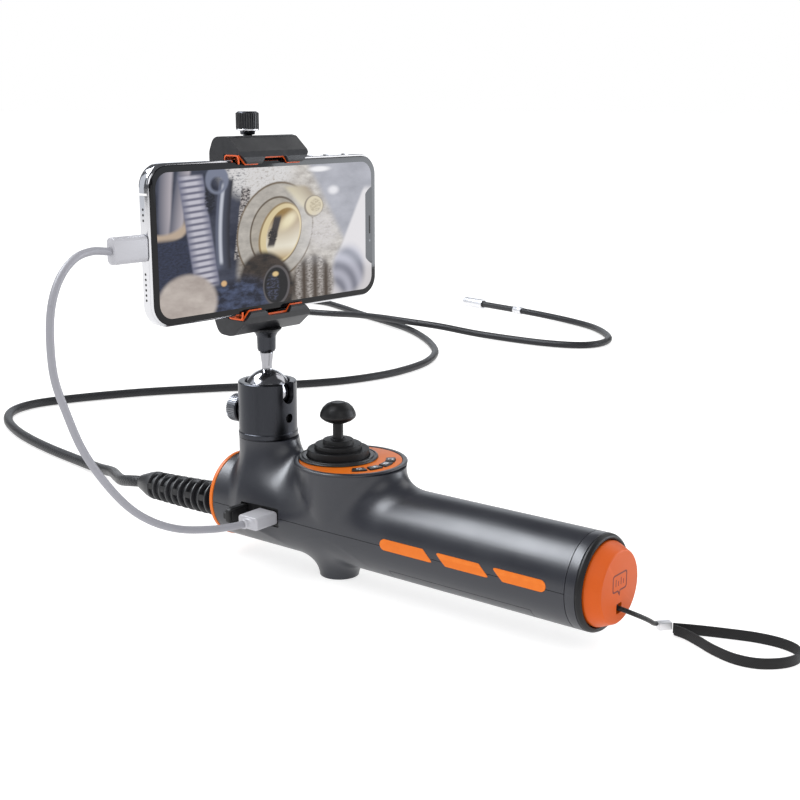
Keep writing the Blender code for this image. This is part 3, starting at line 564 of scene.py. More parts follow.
def take_mesh(target, mesh, tool, keep_tool):
    old = target.data
    target.data = mesh
    bpy.data.meshes.remove(old)
    if not keep_tool:
        bpy.data.objects.remove(tool, do_unlink=True)


def boolean(target, tool, keep_tool=False):
    """Cut at once, leaving a plain mesh; the tool is removed."""
    take_mesh(target, cut_once(target, tool, "DIFFERENCE", "EXACT"), tool, keep_tool)
    target.data.set_sharp_from_angle(angle=math.radians(35))


def fast_cut(target, tool, operation="DIFFERENCE"):
    """A cut between closed meshes: the quick solver, then the exact one if nothing was cut."""
    mesh = cut_once(target, tool, operation, "MANIFOLD")
    if len(mesh.polygons) == len(target.data.polygons):
        mesh = cut_once(target, tool, operation, "EXACT")
    take_mesh(target, mesh, tool, False)


def joined(name, pieces):
    """Several meshes as one piece, each keeping its material."""
    first = pieces[0]
    with bpy.context.temp_override(active_object=first, selected_editable_objects=pieces):
        bpy.ops.object.join()
    first.name = name
    first.data.name = name
    return first


def settle(piece, body, slot, *replaced):
    """Ride on a body and stand for the CAD nodes; the slot is not used."""
    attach(piece, body)
    if replaced:
        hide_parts(*replaced)
    return piece


# Cords: the snake cable, the phone's lead and the wrist strap

def length_of(path):
    return float(np.linalg.norm(np.diff(np.array(path), axis=0), axis=1).sum()) * MM


def make_tip():
    """The ring, the bending section's sheath in short lengths about its hinge points, and the camera head."""
    turn = TIP_DIRECTION.to_track_quat("Z", "Y").to_matrix().to_4x4()

    def place(distance):
        return Matrix.Translation((RING_START + TIP_DIRECTION * distance) * MM) @ turn

    pieces = []
    ring = lathe("tip_ring", [(0, 12.7), (2.8, 12.7), (3.7, 12.2), (3.7, 7.2), (4.2, 6.9), (4.2, 0.9),
        (3.6, 0.3), (0, 0.3)], SILVER, steps=48, round_by=0.3, turn=place(0))
    pieces.append(settle(ring, "handle", "steel", "tip_ferrule"))
    for number in range(1, LINKS + 1):
        hinge = RING_LENGTH + (number - 1) * LINK_PITCH
        start = hinge - (LINK_PITCH / 2 if number > 1 else 0.6)
        end = hinge + LINK_PITCH / 2
        path = [RING_START + TIP_DIRECTION * d for d in np.linspace(start, end, 13)]
        sheath = sweep(f"tip_sheath_{number}", path, 3.2, SHEATH, 24)
        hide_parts(f"tip_link_{number}")
        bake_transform(sheath)
        pieces.append(sheath)
    head_start = RING_LENGTH + LINKS * LINK_PITCH
    path = [RING_START + TIP_DIRECTION * d
        for d in np.linspace(head_start - LINK_PITCH / 2, head_start + 1.5, 5)]
    pieces.append(settle(sweep("tip_sheath_end", path, 3.2, SHEATH, 24), "tip_6", "black_rubber"))
    head = lathe("head_shell", [(3.9, 29.2), (3.9, 30), (4.9, 30), (5.2, 29.6), (5.2, 0.4), (4.9, 0.2),
        (3.9, 0.2), (3.9, 1.4), (3.6, 1.4), (3.6, 28.4), (3.9, 28.6)], SILVER, steps=64, ring=True,
        round_by=0.2, turn=place(head_start))
    lens = lathe("head_lens", [(0, 29.9), (1.5, 29.8), (1.6, 29.5), (3.75, 29.5), (3.75, 28.7), (0, 28.7)],
        LENS_GLASS, steps=48, round_by=0.1, turn=place(head_start))
    pieces.append(settle(head, "tip_6", "steel", "camera_head"))
    pieces.append(settle(lens, "tip_6", "lens_glass", "lens_window"))
    for k in range(6):
        a = math.radians(60 * k + 30)
        lamp = lathe(f"head_lamp_{k + 1}", rect(0, 29.75, 0.5, 29.3), KEY_ICON, steps=16, round_by=0.1,
            turn=place(head_start) @ Matrix.Translation((2.6 * MM * math.cos(a), 2.6 * MM * math.sin(a), 0)))
        pieces.append(settle(lamp, "tip_6", "white_plastic"))
    return pieces


def make_snake(tip_pieces):
    path = smooth_route(CABLE_ROUTE, 3)
    snake = sweep("snake_sleeve", path, CABLE_R, SNAKE_SKIN, 24)
    settle(snake, "handle", "snake_jacket", "snake_cable")


def make_lead(handle_plug, phone_plug):
    """The lead, split where it passes from one body's motion to the next's."""
    path = smooth_route(LEAD_ROUTE, 1.5)[::-1]
    joins = {"handle": 42.0, "ball_seat": 75.0, "ball_stud": 112.0, "clamp": 146.0}
    heights = list(joins.values())
    cuts = [0] + [int(np.argmax(path[:, 2] > z)) for z in heights] + [len(path) - 1]
    run = 0.0
    for number, (a, b) in enumerate(zip(cuts, cuts[1:])):
        part = path[a:b + 1]
        piece = sweep(f"lead_{number + 1}", part, LEAD_R, LEAD_SKIN, 20, run)
        run += length_of(part) / MM
        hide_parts("usb_cable")
        if number == 0:
            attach(piece, "handle")
        elif number == len(cuts) - 2:
            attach(piece, "clamp")
        else:
            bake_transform(piece)


def make_strap():
    path = smooth_route(STRAP_CORD_ROUTE, 1.0)
    cord = settle(sweep("strap_cord_line", path, 1.1, STRAP_CORD_SKIN, 14), "end_cap", "webbing",
        "strap_cord")
    turn = Matrix.Translation(CRIMP_AT * MM) @ Matrix.Rotation(CRIMP_TURN, 4, "Z")
    crimp = block("strap_clip", (-3.2, -2, -1.8), (3.2, 2, 1.8), SILVER, 0.5, 0.35, turn)
    settle(crimp, "end_cap", "steel", "strap_crimp")
    centre = smooth_route([(x, y, 0.1 + STRAP_WIDTH / 2) for x, y in STRAP_ROUTE], 1.2)
    tangents = np.gradient(centre, axis=0)
    tangents /= np.linalg.norm(tangents, axis=1)[:, None]
    aside = np.stack([-tangents[:, 1], tangents[:, 0], 0 * tangents[:, 0]], axis=1)
    section = rounded(rect(-0.5, -2.45, 0.5, 2.45), 0.3, count=3)
    points = []
    run = np.concatenate([[0], np.cumsum(np.linalg.norm(np.diff(centre, axis=0), axis=1))])
    for c, s in zip(centre, aside):
        points += [tuple(c + s * a + np.array((0, 0, b))) for a, b in section]
    m = len(section)
    mesh = bpy.data.meshes.new("strap_loop_band")
    bm = bmesh.new()
    layer = bm.loops.layers.uv.new("along")
    verts = [bm.verts.new(tuple(np.array(p) * MM)) for p in points]
    for i in range(len(centre) - 1):
        for k in range(m):
            n = (k + 1) % m
            face = bm.faces.new((verts[i * m + k], verts[i * m + n], verts[(i + 1) * m + n],
                verts[(i + 1) * m + k]))
            for loop, (row, col) in zip(face.loops, ((i, k), (i, k + 1), (i + 1, k + 1), (i + 1, k))):
                loop[layer].uv = (run[row], section[col % m][1] / 10 + (0.5 if section[col % m][0] > 0
                    else 0))
    bm.faces.new(list(reversed(verts[:m])))
    bm.faces.new(verts[-m:])
    bmesh.ops.recalc_face_normals(bm, faces=bm.faces)
    bm.to_mesh(mesh)
    bm.free()
    loop_piece = made_object("strap_loop_band", mesh, WEBBING, 50)
    settle(loop_piece, "end_cap", "webbing", "strap_loop")


def rounded_rect(width, height, radius, cx=0.0, cy=0.0, count=7):
    points = []
    for sx, sy, start in ((1, 1, 0), (-1, 1, 90), (-1, -1, 180), (1, -1, 270)):
        points += arc(radius, start, start + 90, count, cx + sx * (width / 2 - radius),
            cy + sy * (height / 2 - radius))
    return points


CLAMP = Matrix.Translation((TOWER_X * MM, 0, 0)) @ Matrix.Rotation(CLAMP_TURN, 4, "Z")
ON_SCREW = CLAMP @ Matrix.Translation((ROD_X * MM, 0, 0))


def make_plugs():
    """The lead's two plugs: flat moulded shells, the one at the handle with a collar at the cord."""
    shell = prism("plug_at_handle", rounded_rect(13, 6.6, 1.7, PORT_X, AXIS_Z), -36, -21.4, WHITE, "Y", 0.7,
        4)
    neck = lathe("plug_neck", [(0, -35), (5.6, -35), (5.0, -35.9), (2.9, -36.6), (2.45, -37.4), (2.45, -38.8),
                               (2.1, -39.1), (0, -39.1)][::-1], WHITE, (PORT_X, 0, AXIS_Z), "Y", 48)
    for v in neck.data.vertices:      # flatten the flare to the shell's height
        flat = min(max((v.co.y / MM + 38) / 2, 0), 1)
        v.co.z = AXIS_Z * MM + (v.co.z - AXIS_Z * MM) * (1 - 0.45 * flat)
    handle_plug = joined("plug_at_handle", [shell, neck])
    settle(handle_plug, "handle", "white_plastic", "handle_plug")
    body = prism("plug_at_phone", rounded_rect(6.6, 12.4, 2.6, 2.6, PHONE_MID_Z), -94.8, -76.4, WHITE, "Y",
        0.7, 4, CLAMP)
    settle(body, "clamp", "white_plastic", "phone_plug")
    return handle_plug, body


make_snake(make_tip())
make_lead(*make_plugs())
make_strap()


# Housing: the handle, deck, tower and foot melt into each other in wide concave fillets

def soft_min(a, b, width):
    share = np.maximum(width - np.abs(a - b), 0) / width
    return np.minimum(a, b) - share * share * width / 4


def deck_radius(z):
    return DECK_R - (DECK_TOP - z) * 0.197


def housing_distance(x, y, z):
    """Signed distance in mm, less than zero inside; the deck and tower run on past their tops."""
    from_deck = np.hypot(x - DECK_X, y)
    handle = np.hypot(y, z - AXIS_Z) - HANDLE_R
    deck = np.maximum(from_deck - deck_radius(z), 26 - z)
    deck_fillet = 1 + 16 * (np.abs(x - DECK_X) / np.maximum(from_deck, 1)) ** 2
    tower = np.maximum(np.hypot(x - TOWER_X, y) - 15.1, 30 - z)
    tower_fillet = np.clip(17 + (x + 49) * 1.1, 4, 17)
    foot = np.maximum(np.hypot(x, y) - 9.75, z - 26)
    body = soft_min(soft_min(handle, deck, deck_fillet), tower, tower_fillet)
    return soft_min(body, foot, 11)


def surface(distance, low, high, step):
    """Surface nets: one vertex in each cell that the surface crosses, then moved onto it."""
    axes = [np.arange(a, b + step, step) for a, b in zip(low, high)]
    values = distance(*np.meshgrid(*axes, indexing="ij"))
    shape = np.array(values.shape)
    total = np.zeros((*(shape - 1), 3))
    hits = np.zeros(shape - 1)
    crossings = []
    for k in range(3):
        a = np.take(values, range(shape[k] - 1), axis=k)
        b = np.take(values, range(1, shape[k]), axis=k)
        crossed = (a < 0) != (b < 0)
        where = np.argwhere(crossed)
        share = (a / (a - b + 1e-12))[crossed]
        spot = where.astype(float)
        spot[:, k] += share
        others = [m for m in range(3) if m != k]
        for da in (0, -1):
            for db in (0, -1):
                cell = where.copy()
                cell[:, others[0]] += da
                cell[:, others[1]] += db
                good = np.all((cell >= 0) & (cell < shape - 1), axis=1)
                np.add.at(total, tuple(cell[good].T), spot[good])
                np.add.at(hits, tuple(cell[good].T), 1)
        inner = np.all((where[:, others] >= 1) & (where[:, others] < (shape - 1)[others]), axis=1)
        crossings.append((k, others, where[inner], (a < 0)[crossed][inner]))
    used = hits > 0
    index = np.full(hits.shape, -1)
    index[used] = np.arange(used.sum())
    points = np.array(low) + total[used] / hits[used][:, None] * step
    for _ in range(4):
        value = distance(*points.T)
        slope = np.stack([(distance(*(points + d).T) - distance(*(points - d).T)) / 0.1
                          for d in np.eye(3) * 0.05], axis=1)
        points -= slope * (value / np.maximum((slope ** 2).sum(axis=1), 0.2))[:, None]
    faces = []
    for k, others, where, outwards in crossings:
        corners = []
        for da, db in ((0, 0), (-1, 0), (-1, -1), (0, -1)):
            cell = where.copy()
            cell[:, others[0]] += da
            cell[:, others[1]] += db
            corners.append(index[tuple(cell.T)])
        faces.append(np.stack(corners, axis=1))
    return points, np.concatenate(faces).tolist()


def cut_flat(bm, point, normal):
    """Take away everything on the normal's side of a plane and close the cut."""
    geometry = list(bm.verts) + list(bm.edges) + list(bm.faces)
    bmesh.ops.bisect_plane(bm, geom=geometry, dist=0.0000001, plane_co=Vector(point) * MM,
        plane_no=Vector(normal), clear_outer=True)
    rim = [e for e in bm.edges if e.is_boundary]
    bmesh.ops.holes_fill(bm, edges=rim, sides=0)


def housing_blank():
    points, faces = surface(housing_distance, (-70.3, -31, -3), (149.5, 31, 67.4), 1.15)
    mesh = bpy.data.meshes.new("housing_blank")
    mesh.from_pydata((points * MM).tolist(), [], faces)
    bm = bmesh.new()
    bm.from_mesh(mesh)
    bmesh.ops.recalc_face_normals(bm, faces=bm.faces)
    cut_flat(bm, (NOSE_X, 0, 0), (-1, 0, 0))
    cut_flat(bm, (TAIL_X, 0, 0), (1, 0, 0))
    cut_flat(bm, (0, 0, 0), (0, 0, -1))
    cut_flat(bm, (0, 0, TOWER_TOP), (0, 0, 1))
    bmesh.ops.recalc_face_normals(bm, faces=bm.faces)
    bm.to_mesh(mesh)
    bm.free()
    return made_object("housing_blank", mesh, GRAPHITE)


def plain_box(low, high):
    return prism("cutter", rect(*low[:2], *high[:2]), low[2], high[2], DARK, bevel=0)


def copy_of(obj, name):
    made = obj.copy()
    made.data = obj.data.copy()
    made.name = name
    bpy.context.scene.collection.objects.link(made)
    return made


INLAY_Z = 31
INLAY_HALF = 2.7
INLAY_SLANT = 6
INLAY_SPANS = [(44, 72, True, False), (79, 103, False, False), (110, 135, False, True)]


def inlay_outline(front, rear, round_front, round_rear, grow):
    half = INLAY_HALF + grow
    slant = INLAY_SLANT * half / INLAY_HALF
    front -= grow
    rear += grow
    if round_front:
        left = arc(half, 90, 270, 13, front + half, INLAY_Z)
    else:
        left = [(front - slant / 2, INLAY_Z + half), (front + slant / 2, INLAY_Z - half)]
    if round_rear:
        right = arc(half, -90, 90, 13, rear - half, INLAY_Z)
    else:
        right = [(rear + slant / 2, INLAY_Z - half), (rear - slant / 2, INLAY_Z + half)]
    corners = left + right
    return rounded(corners, 0.8 + grow, count=4, least=30)


def finish_shell(shell, name, body, slot, *replaced):
    shell.name = name
    shell.data.name = name
    for polygon in shell.data.polygons:
        polygon.use_smooth = True
    shell.data.set_sharp_from_angle(angle=math.radians(32))
    settle(shell, body, slot, *replaced)


def make_housing():
    blank = housing_blank()
    fast_cut(blank, plain_box((-24.5, -40, DECK_TOP - 1.4), (60, 40, 80)))
    fast_cut(blank, lathe("bore", rect(0, 160, 19.3, -80), DARK, (0, 0, AXIS_Z), "X", 64,
                          round_by=0))
    fast_cut(blank, lathe("bore", rect(0, 70, 17.0, 36), DARK, steps=64, round_by=0))
    fast_cut(blank, lathe("bore", rect(0, 60, 11, 36), DARK, (TOWER_X, 0, 0), "Z", 48, round_by=0))
    fast_cut(blank, lathe("bore", rect(0, 7, 3.2, -2), DARK, (0, 0, 0), "Z", 32, round_by=0))
    port = rect(-45.9, 25, -21.2, 34.8)
    cutters = [prism("port", rounded(port, 1.2, count=5), -40, -20.6, DARK, "Y", 0)]
    for sign in (-1, 1):
        for span in INLAY_SPANS:
            sides = sorted((sign * 21.0, sign * 24))
            cutters.append(prism("recess", inlay_outline(*span, 0.12), *sides, DARK, "Y", 0))
    fast_cut(blank, joined("cutters", cutters))

    door = copy_of(blank, "cell_door")
    fast_cut(door, plain_box((46.25, -17.45, -5), (124.75, 17.45, 17.15)), "INTERSECT")
    fast_cut(door, lathe("bore", rect(0, 16, 2.3, 5), DARK, (117, 0, 0), "Z", 32, round_by=0))
    finish_shell(door, "cell_door", "handle", "graphite", "battery_door")

    upper = copy_of(blank, "upper_shell")
    fast_cut(upper, plain_box((-90, -60, -20), (170, 60, AXIS_Z + 0.13)))
    finish_shell(upper, "upper_shell", "handle", "graphite", "upper_housing")
    fast_cut(blank, plain_box((-90, -60, AXIS_Z - 0.13), (170, 60, 90)))
    fast_cut(blank, plain_box((46, -17.7, -5), (125, 17.7, 17.4)))
    finish_shell(blank, "lower_shell", "handle", "graphite", "lower_housing")

    for side, sign in (("right", -1), ("left", 1)):
        for number, span in enumerate(INLAY_SPANS, 1):
            sides = sorted((sign * 21.05, sign * 22.6))
            inlay = prism("inlay", inlay_outline(*span, 0), *sides, ORANGE, "Y", 0)
            round_face = lathe("face", rect(0, 160, INLAY_R, 30), ORANGE, (0, 0, AXIS_Z), "X", 256,
                               round_by=0)
            fast_cut(inlay, round_face, "INTERSECT")
            finish_shell(inlay, f"inlay_{side}_{number}", "handle", "orange", f"grip_inlay_{side}_{number}")


def make_deck():
    """Rim, orange crescent with its keys, and the bezel that the boot sits in."""
    low = DECK_TOP - 1.4
    rim = lathe("deck_rim", [(25.45, 60.6), (25.75, 61.05), (27.5, 61.1), (28.1, 60.5),
        (deck_radius(low), low), (25.45, low)], GRAPHITE, (DECK_X, 0, 0), "Z", 160, ring=True, round_by=0.4)
    gap = lathe("bore", rect(0, 63, 18.4, 58), DARK, steps=128, round_by=0)
    boolean(rim, gap, keep_tool=True)
    settle(rim, "handle", "graphite")
    plate = lathe("deck_plate", rect(0, 60.9, 25.3, low + 0.05), ORANGE, (DECK_X, 0, 0),
                  "Z", 160, round_by=0.2)
    boolean(plate, gap)
    for number, angle in enumerate(KEY_ANGLES, 1):
        cutter = prism("window", key_outline(angle, 0.22), 59, 63, DARK, bevel=0)
        boolean(plate, cutter)
        key = prism(f"key_{number}", key_outline(angle, 0), 60.25, 61.6, BLACK_PLASTIC, bevel=0.35,
            segments=3)
        settle(key, f"button_{number}", "black_plastic", f"button_{number}")
        settle(key_icon(number, angle), f"button_{number}", "white_plastic")
    settle(plate, "handle", "orange", "control_plate")
    bezel = lathe("stick_bezel", [(15.9, 62.2), (17.6, 62.2), (17.8, 61.7), (18.6, 61.6), (18.8, 62.0),
        (19.5, 61.9), (19.8, 61.4), (19.8, 61.15), (18.1, 61.15), (18.1, 59.7), (15.9, 59.7)], BLACK_PLASTIC,
        steps=128, ring=True, round_by=0.2)
    settle(bezel, "handle", "black_plastic", "joystick_bezel")


def key_outline(angle, grow):
    inner, outer = 17.4 - grow, 22.0 + grow
    half = 10.0 + math.degrees(grow / 19.7)
    corners = (arc(inner, angle + half * 0.92, angle - half * 0.92, 7, DECK_X)
               + arc(outer, angle - half, angle + half, 9, DECK_X))
    return rounded(corners, 0.7 + grow, count=4, least=40)


def key_icon(number, angle):
    """A small generic sign on each key: a ring with a bar, a sun, a box with a dot, a turned arrow."""
    top, thin = 61.6, 61.66
    shapes = {1: [arc(1.3, 120, 420, 22) + arc(0.95, 420, 120, 22), rect(-0.18, 0.4, 0.18, 1.7)],
        2: [arc(0.75, 0, 360, 19)[:-1]] + [arc(1.6, a - 5, a + 5, 3) + arc(1.1, a + 7, a - 7, 3)
        for a in range(0, 360, 60)], 3: [rounded_rect(2.9, 2.0, 0.4)],
        4: [arc(1.35, 40, 320, 22) + arc(0.95, 320, 40, 22), [(0.5, 1.3), (1.7, 1.5), (1.3, 0.3)]],}
    parts = []
    a = math.radians(angle)
    turn = (Matrix.Translation(((DECK_X + 19.7 * math.cos(a)) * MM, 19.7 * math.sin(a) * MM, 0))
            @ Matrix.Rotation(a - math.radians(90), 4, "Z"))
    for shape in shapes[number]:
        parts.append(prism("icon", shape, top - 0.1, thin, KEY_ICON, bevel=0, turn=turn))
    if number == 3:
        parts.append(prism("icon", arc(0.6, 0, 360, 17)[:-1], top, thin + 0.05, BLACK_PLASTIC, bevel=0,
            turn=turn))
    return joined(f"key_sign_{number}", parts)


def make_joystick():
    """Black shaft and mushroom knob over a stepped boot."""
    shaft = lathe("stick_shaft", [(0, 81.3), (2.6, 81.3), (2.6, 59.5), (4.6, 58.4), (4.6, 53.6), (0, 53.6)],
        KNOB_RUBBER, steps=48)
    pin = lathe("pin", rect(0, 10.4, 1.2, -10.4), STEEL, (0, 0, 56), "X", 24)
    settle(joined("stick_shaft", [shaft, pin]), "stick", "black_metal", "joystick_shaft")
    knob = lathe("stick_knob", [(0, 88.7), (1.8, 88.8), (3.2, 88.9), (5.6, 87.9), (7.5, 86.1), (8.7, 83.7),
        (9.0, 82.1), (8.6, 81.1), (6.8, 79.7), (4.6, 78.7), (2.9, 78.3), (2.9, 80), (0, 80)], KNOB_RUBBER,
        steps=96, round_by=2.0)
    settle(knob, "stick", "black_rubber", "joystick_knob")
    low = lathe("boot_low", [(11.0, 65.55), (15.1, 65.6), (15.35, 65.3), (15.5, 60.3), (14.3, 60.3),
        (14.1, 64.6), (11.0, 64.7)], BLACK_RUBBER, steps=96, ring=True, round_by=0.4)
    high = lathe("boot_high", [(3.0, 70.6), (3.7, 70.7), (4.0, 70.2), (7.3, 70.2), (7.6, 69.9), (7.7, 67.9),
        (11.4, 67.9), (11.7, 67.6), (11.8, 65.3), (11.0, 65.0), (10.6, 66.8), (6.9, 66.9), (6.6, 69.2),
        (3.0, 69.3)], BLACK_RUBBER, steps=96, ring=True, round_by=0.3)
    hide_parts("joystick_boot")
    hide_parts("joystick_boot")
    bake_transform(low)
    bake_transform(high)


def boot_axis(x):
    return 21 + 2.5 * min((x + 148) / 77, 1) ** 2


def make_nose():
    """Orange ring, bulkhead and the slotted strain relief."""
    ring = lathe("nose_ring", rect(20.3, -67.7, 22.35, -69.7), ORANGE, (0, 0, AXIS_Z), "X",
                 160, ring=True, round_by=0.25)
    settle(ring, "handle", "orange", "front_ring")
    face = lathe("nose_bulkhead", [(0, -62.4), (19.0, -62.4), (19.0, -67.6), (20.0, -67.6), (20.0, -70.2),
        (0, -70.2)], BLACK_PLASTIC, (0, 0, AXIS_Z), "X", 128, round_by=0.4)
    boolean(face, lathe("bore", rect(0, -60, 7.3, -80), DARK, (0, 0, 23.5), "X", 48, round_by=0))
    settle(face, "handle", "black_plastic", "front_bulkhead")

    def outer(x):
        return 9.45 + (x + 78) * 0.0285 if x < -78 else 9.45

    stations = [(-61.5, 7), (-70.7, 7), (-70.8, 9.2), (-71.0, 9.4), (-72.4, 9.4), (-72.6, 9.2), (-72.8, 6.2)]
    pitch, rib = 5.3, 1.5
    gaps = []
    x = -72.8
    while x - pitch > -133:
        gaps.append((x, x - (pitch - rib)))
        x -= pitch - rib
        r = outer(x)
        stations += [(x, 6.2), (x - 0.12, r - 0.25), (x - 0.35, r), (x - rib + 0.35, r),
            (x - rib + 0.12, r - 0.25), (x - rib, 6.2)]
        x -= rib
    gaps.append((x, x - 3.2))
    x -= 3.2
    stations += [(x, 6.2), (x - 0.15, 7.7), (x - 0.4, 7.95), (x - 2.2, 7.75), (x - 5, 7.1), (x - 8, 6.0),
        (-146.2, 4.7), (-147.3, 4.25), (-147.7, 3.9)]
    path = [(x, 0, boot_axis(x)) for x, _ in stations]
    boot = sweep("strain_boot", path, [r for _, r in stations], BOOT_RUBBER, 64)
    bridges = []
    for number, (front, rear) in enumerate(gaps):
        r = outer(front) - 0.35
        for side in (0, 180) if number % 2 else (90, 270):
            a = math.radians(side - 12)
            turn = Matrix.Translation((0, 0, boot_axis(front) * MM)) @ Matrix.Rotation(a, 4, "X")
            outline = rect(5.5, -1.6, r, 1.6)
            bridge = prism("bridge", outline, rear - 0.4, front + 0.4, BLACK_RUBBER, "Z", 0,
                           turn=turn @ Matrix(((0, 0, 1, 0), (1, 0, 0, 0), (0, 1, 0, 0), (0, 0, 0, 1))))
            bridges.append(bridge)
    settle(joined("strain_boot", [boot] + bridges), "handle", "black_rubber", "strain_relief")


def make_tail():
    """Rubber ring and the orange cap with a generic engraved sign drawn in dark lines of painted shade, and
    the strap's hole.
    """
    ring = lathe("tail_ring", [(19.5, 151.4), (20.4, 151.9), (21.3, 151.4), (21.9, 150.2), (21.9, 149.0),
        (19.5, 149.0)], BLACK_RUBBER, (0, 0, AXIS_Z), "X", 160, ring=True, round_by=0.5)
    collar = lathe("tail_collar", [(19.5, 149.0), (21.9, 149.0), (22.0, 148.8), (22.0, 144.3), (19.5, 144.3)],
        GRAPHITE, (0, 0, AXIS_Z), "X", 160, ring=True, round_by=0.1)
    settle(joined("tail_ring", [ring, collar]), "handle", "black_rubber", "end_ring")
    # the cap takes the darker orange, painted shade of its face
    cap = lathe("tail_cap", [(0, 158.6), (15.9, 158.6), (16.5, 158.1), (18.8, 152.9), (19.1, 152.0),
        (19.1, 142), (16.8, 142), (16.0, 152), (14.5, 156.2), (0, 156.2)], CAP_ORANGE_SHADED, (0, 0, AXIS_Z), "X",
        160, round_by=0.5)
    hole = prism("hole", rounded(rect(-2.2, 18.2, 2.2, 22.8), 0.5), 154, 162, DARK, "X", 0)
    boolean(cap, hole)
    settle(cap, "end_cap", "orange", "end_cap")
    sign = rounded([(-6.2, 28.4), (-1.8, 28.4), (0.0, 26.0), (0.6, 28.4), (6.2, 28.4), (6.2, 36.6),
        (-6.2, 36.6)], [1.6, 0.1, 0.1, 0.1, 1.6, 1.6, 1.6], count=6)
    inner = rounded([(-5.5, 29.1), (-1.4, 29.1), (-0.1, 27.8), (0.1, 29.1), (5.5, 29.1), (5.5, 35.9),
                     (-5.5, 35.9)], [1.2, 0.1, 0.1, 0.1, 1.2, 1.2, 1.2], count=6)
    # the sign's lines stand on the face in the dark colour: painted shade of the grooves
    line = prism("sign", sign, 158.45, 158.64, ENGRAVING_SHADE, "X", 0)
    boolean(line, prism("sign_inner", inner, 158, 159, DARK, "X", 0))
    bars = [prism("sign_bar", rounded(rect(y, 31.0, y + 0.55, top), 0.2), 158.45, 158.64,
                  ENGRAVING_SHADE, "X", 0) for y, top in ((-3.6, 34.4), (-1.4, 33.2), (0.8, 34.4), (3.0, 33.2))]
    settle(joined("cap_sign", [line] + bars), "end_cap", "orange")
    knot = lathe("strap_knot", [(0, 157.9), (1.3, 157.7), (2.0, 156.6), (1.5, 155.4), (0, 155.0)],
        STRAP_CORD_SKIN, (0, 0, 20.5), "X", 32, round_by=0.8)
    settle(knot, "end_cap", "webbing")


def knurled(radius, depth, teeth):
    points = []
    for i in range(teeth):
        a = 2 * math.pi * i / teeth
        step = 2 * math.pi / teeth
        for share, r in ((0.0, radius), (0.45, radius), (0.6, radius - depth), (0.85, radius - depth)):
            points.append((r * math.cos(a + share * step), r * math.sin(a + share * step)))
    return points


def make_ball_head():
    """Slotted socket on the tower, chrome ball, and the knurled lock knob."""
    socket = lathe("head_socket", [(0, 69.6), (12.4, 69.6), (12.4, 87.5), (12.2, 90), (11.3, 92.2),
        (11.5, 93.3), (12.0, 93.6), (14.5, 93.6), (15.0, 93.1), (15.0, 67.8), (15.35, 67.5), (15.35, 65.3),
        (15.1, 65.1), (15.1, 64.75), (0, 64.75)], BLACK_METAL, (TOWER_X, 0, 0), "Z", 144, round_by=0.35)
    slot = prism("slot", [(-3.9, 100)] + arc(3.9, 180, 360, 25, 0, 87) + [(3.9, 100)], TOWER_X + 6,
        TOWER_X + 20, DARK, "X", 0)
    boolean(socket, slot)
    eye = lathe("eye", rect(0, TOWER_X + 20, 2.4, TOWER_X + 6), DARK, (0, 0, 75.6),
                "X", 40, round_by=0)
    boolean(socket, eye)
    finish_shell(socket, "head_socket", "handle", "black_metal", "ball_socket")
    points = [(0, 108.4), (3.4, 108.4), (3.4, 107.4), (2.6, 101.5)]
    for k in range(40):
        a = math.radians(77 - k * 4.15)
        points.append((BALL_R * math.cos(a), BALL_Z + BALL_R * math.sin(a)))
    points.append((0, BALL_Z - BALL_R))
    ball = lathe("head_ball", points, CHROME, (TOWER_X, 0, 0), "Z", 128, round_by=0.5)
    settle(ball, "ball_stud", "chrome", "ball_stud")
    sleeve = lathe("head_sleeve", [(0, 118.9), (6.4, 118.9), (5.6, 117.8), (4.85, 116.2), (4.7, 110.0),
        (4.3, 108.9), (3.9, 108.7), (0, 108.7)], BLACK_METAL, (TOWER_X, 0, 0), "Z", 96, round_by=0.5)
    settle(sleeve, "clamp", "black_metal", "stud_sleeve")
    wheel = prism("lock_wheel", knurled(7.3, 0.42, 40), TOWER_X - 23.6, TOWER_X - 17.6, KNURL_METAL, "X",
        0.35, 2, Matrix.Translation((0, 0, LOCK_Z * MM)), 25)
    face = lathe("lock_face", [(0, TOWER_X - 12.8), (2.0, TOWER_X - 12.8), (2.0, TOWER_X - 15.6),
        (4.6, TOWER_X - 15.9), (4.8, TOWER_X - 17.0), (6.5, TOWER_X - 17.2), (6.7, TOWER_X - 17.7),
        (6.7, TOWER_X - 23.5), (6.2, TOWER_X - 24.3), (0, TOWER_X - 24.3)], BLACK_METAL, (0, 0, LOCK_Z), "X",
        96, round_by=0.3)
    settle(joined("lock_wheel", [face, wheel]), "lock_knob", "black_metal", "lock_knob")


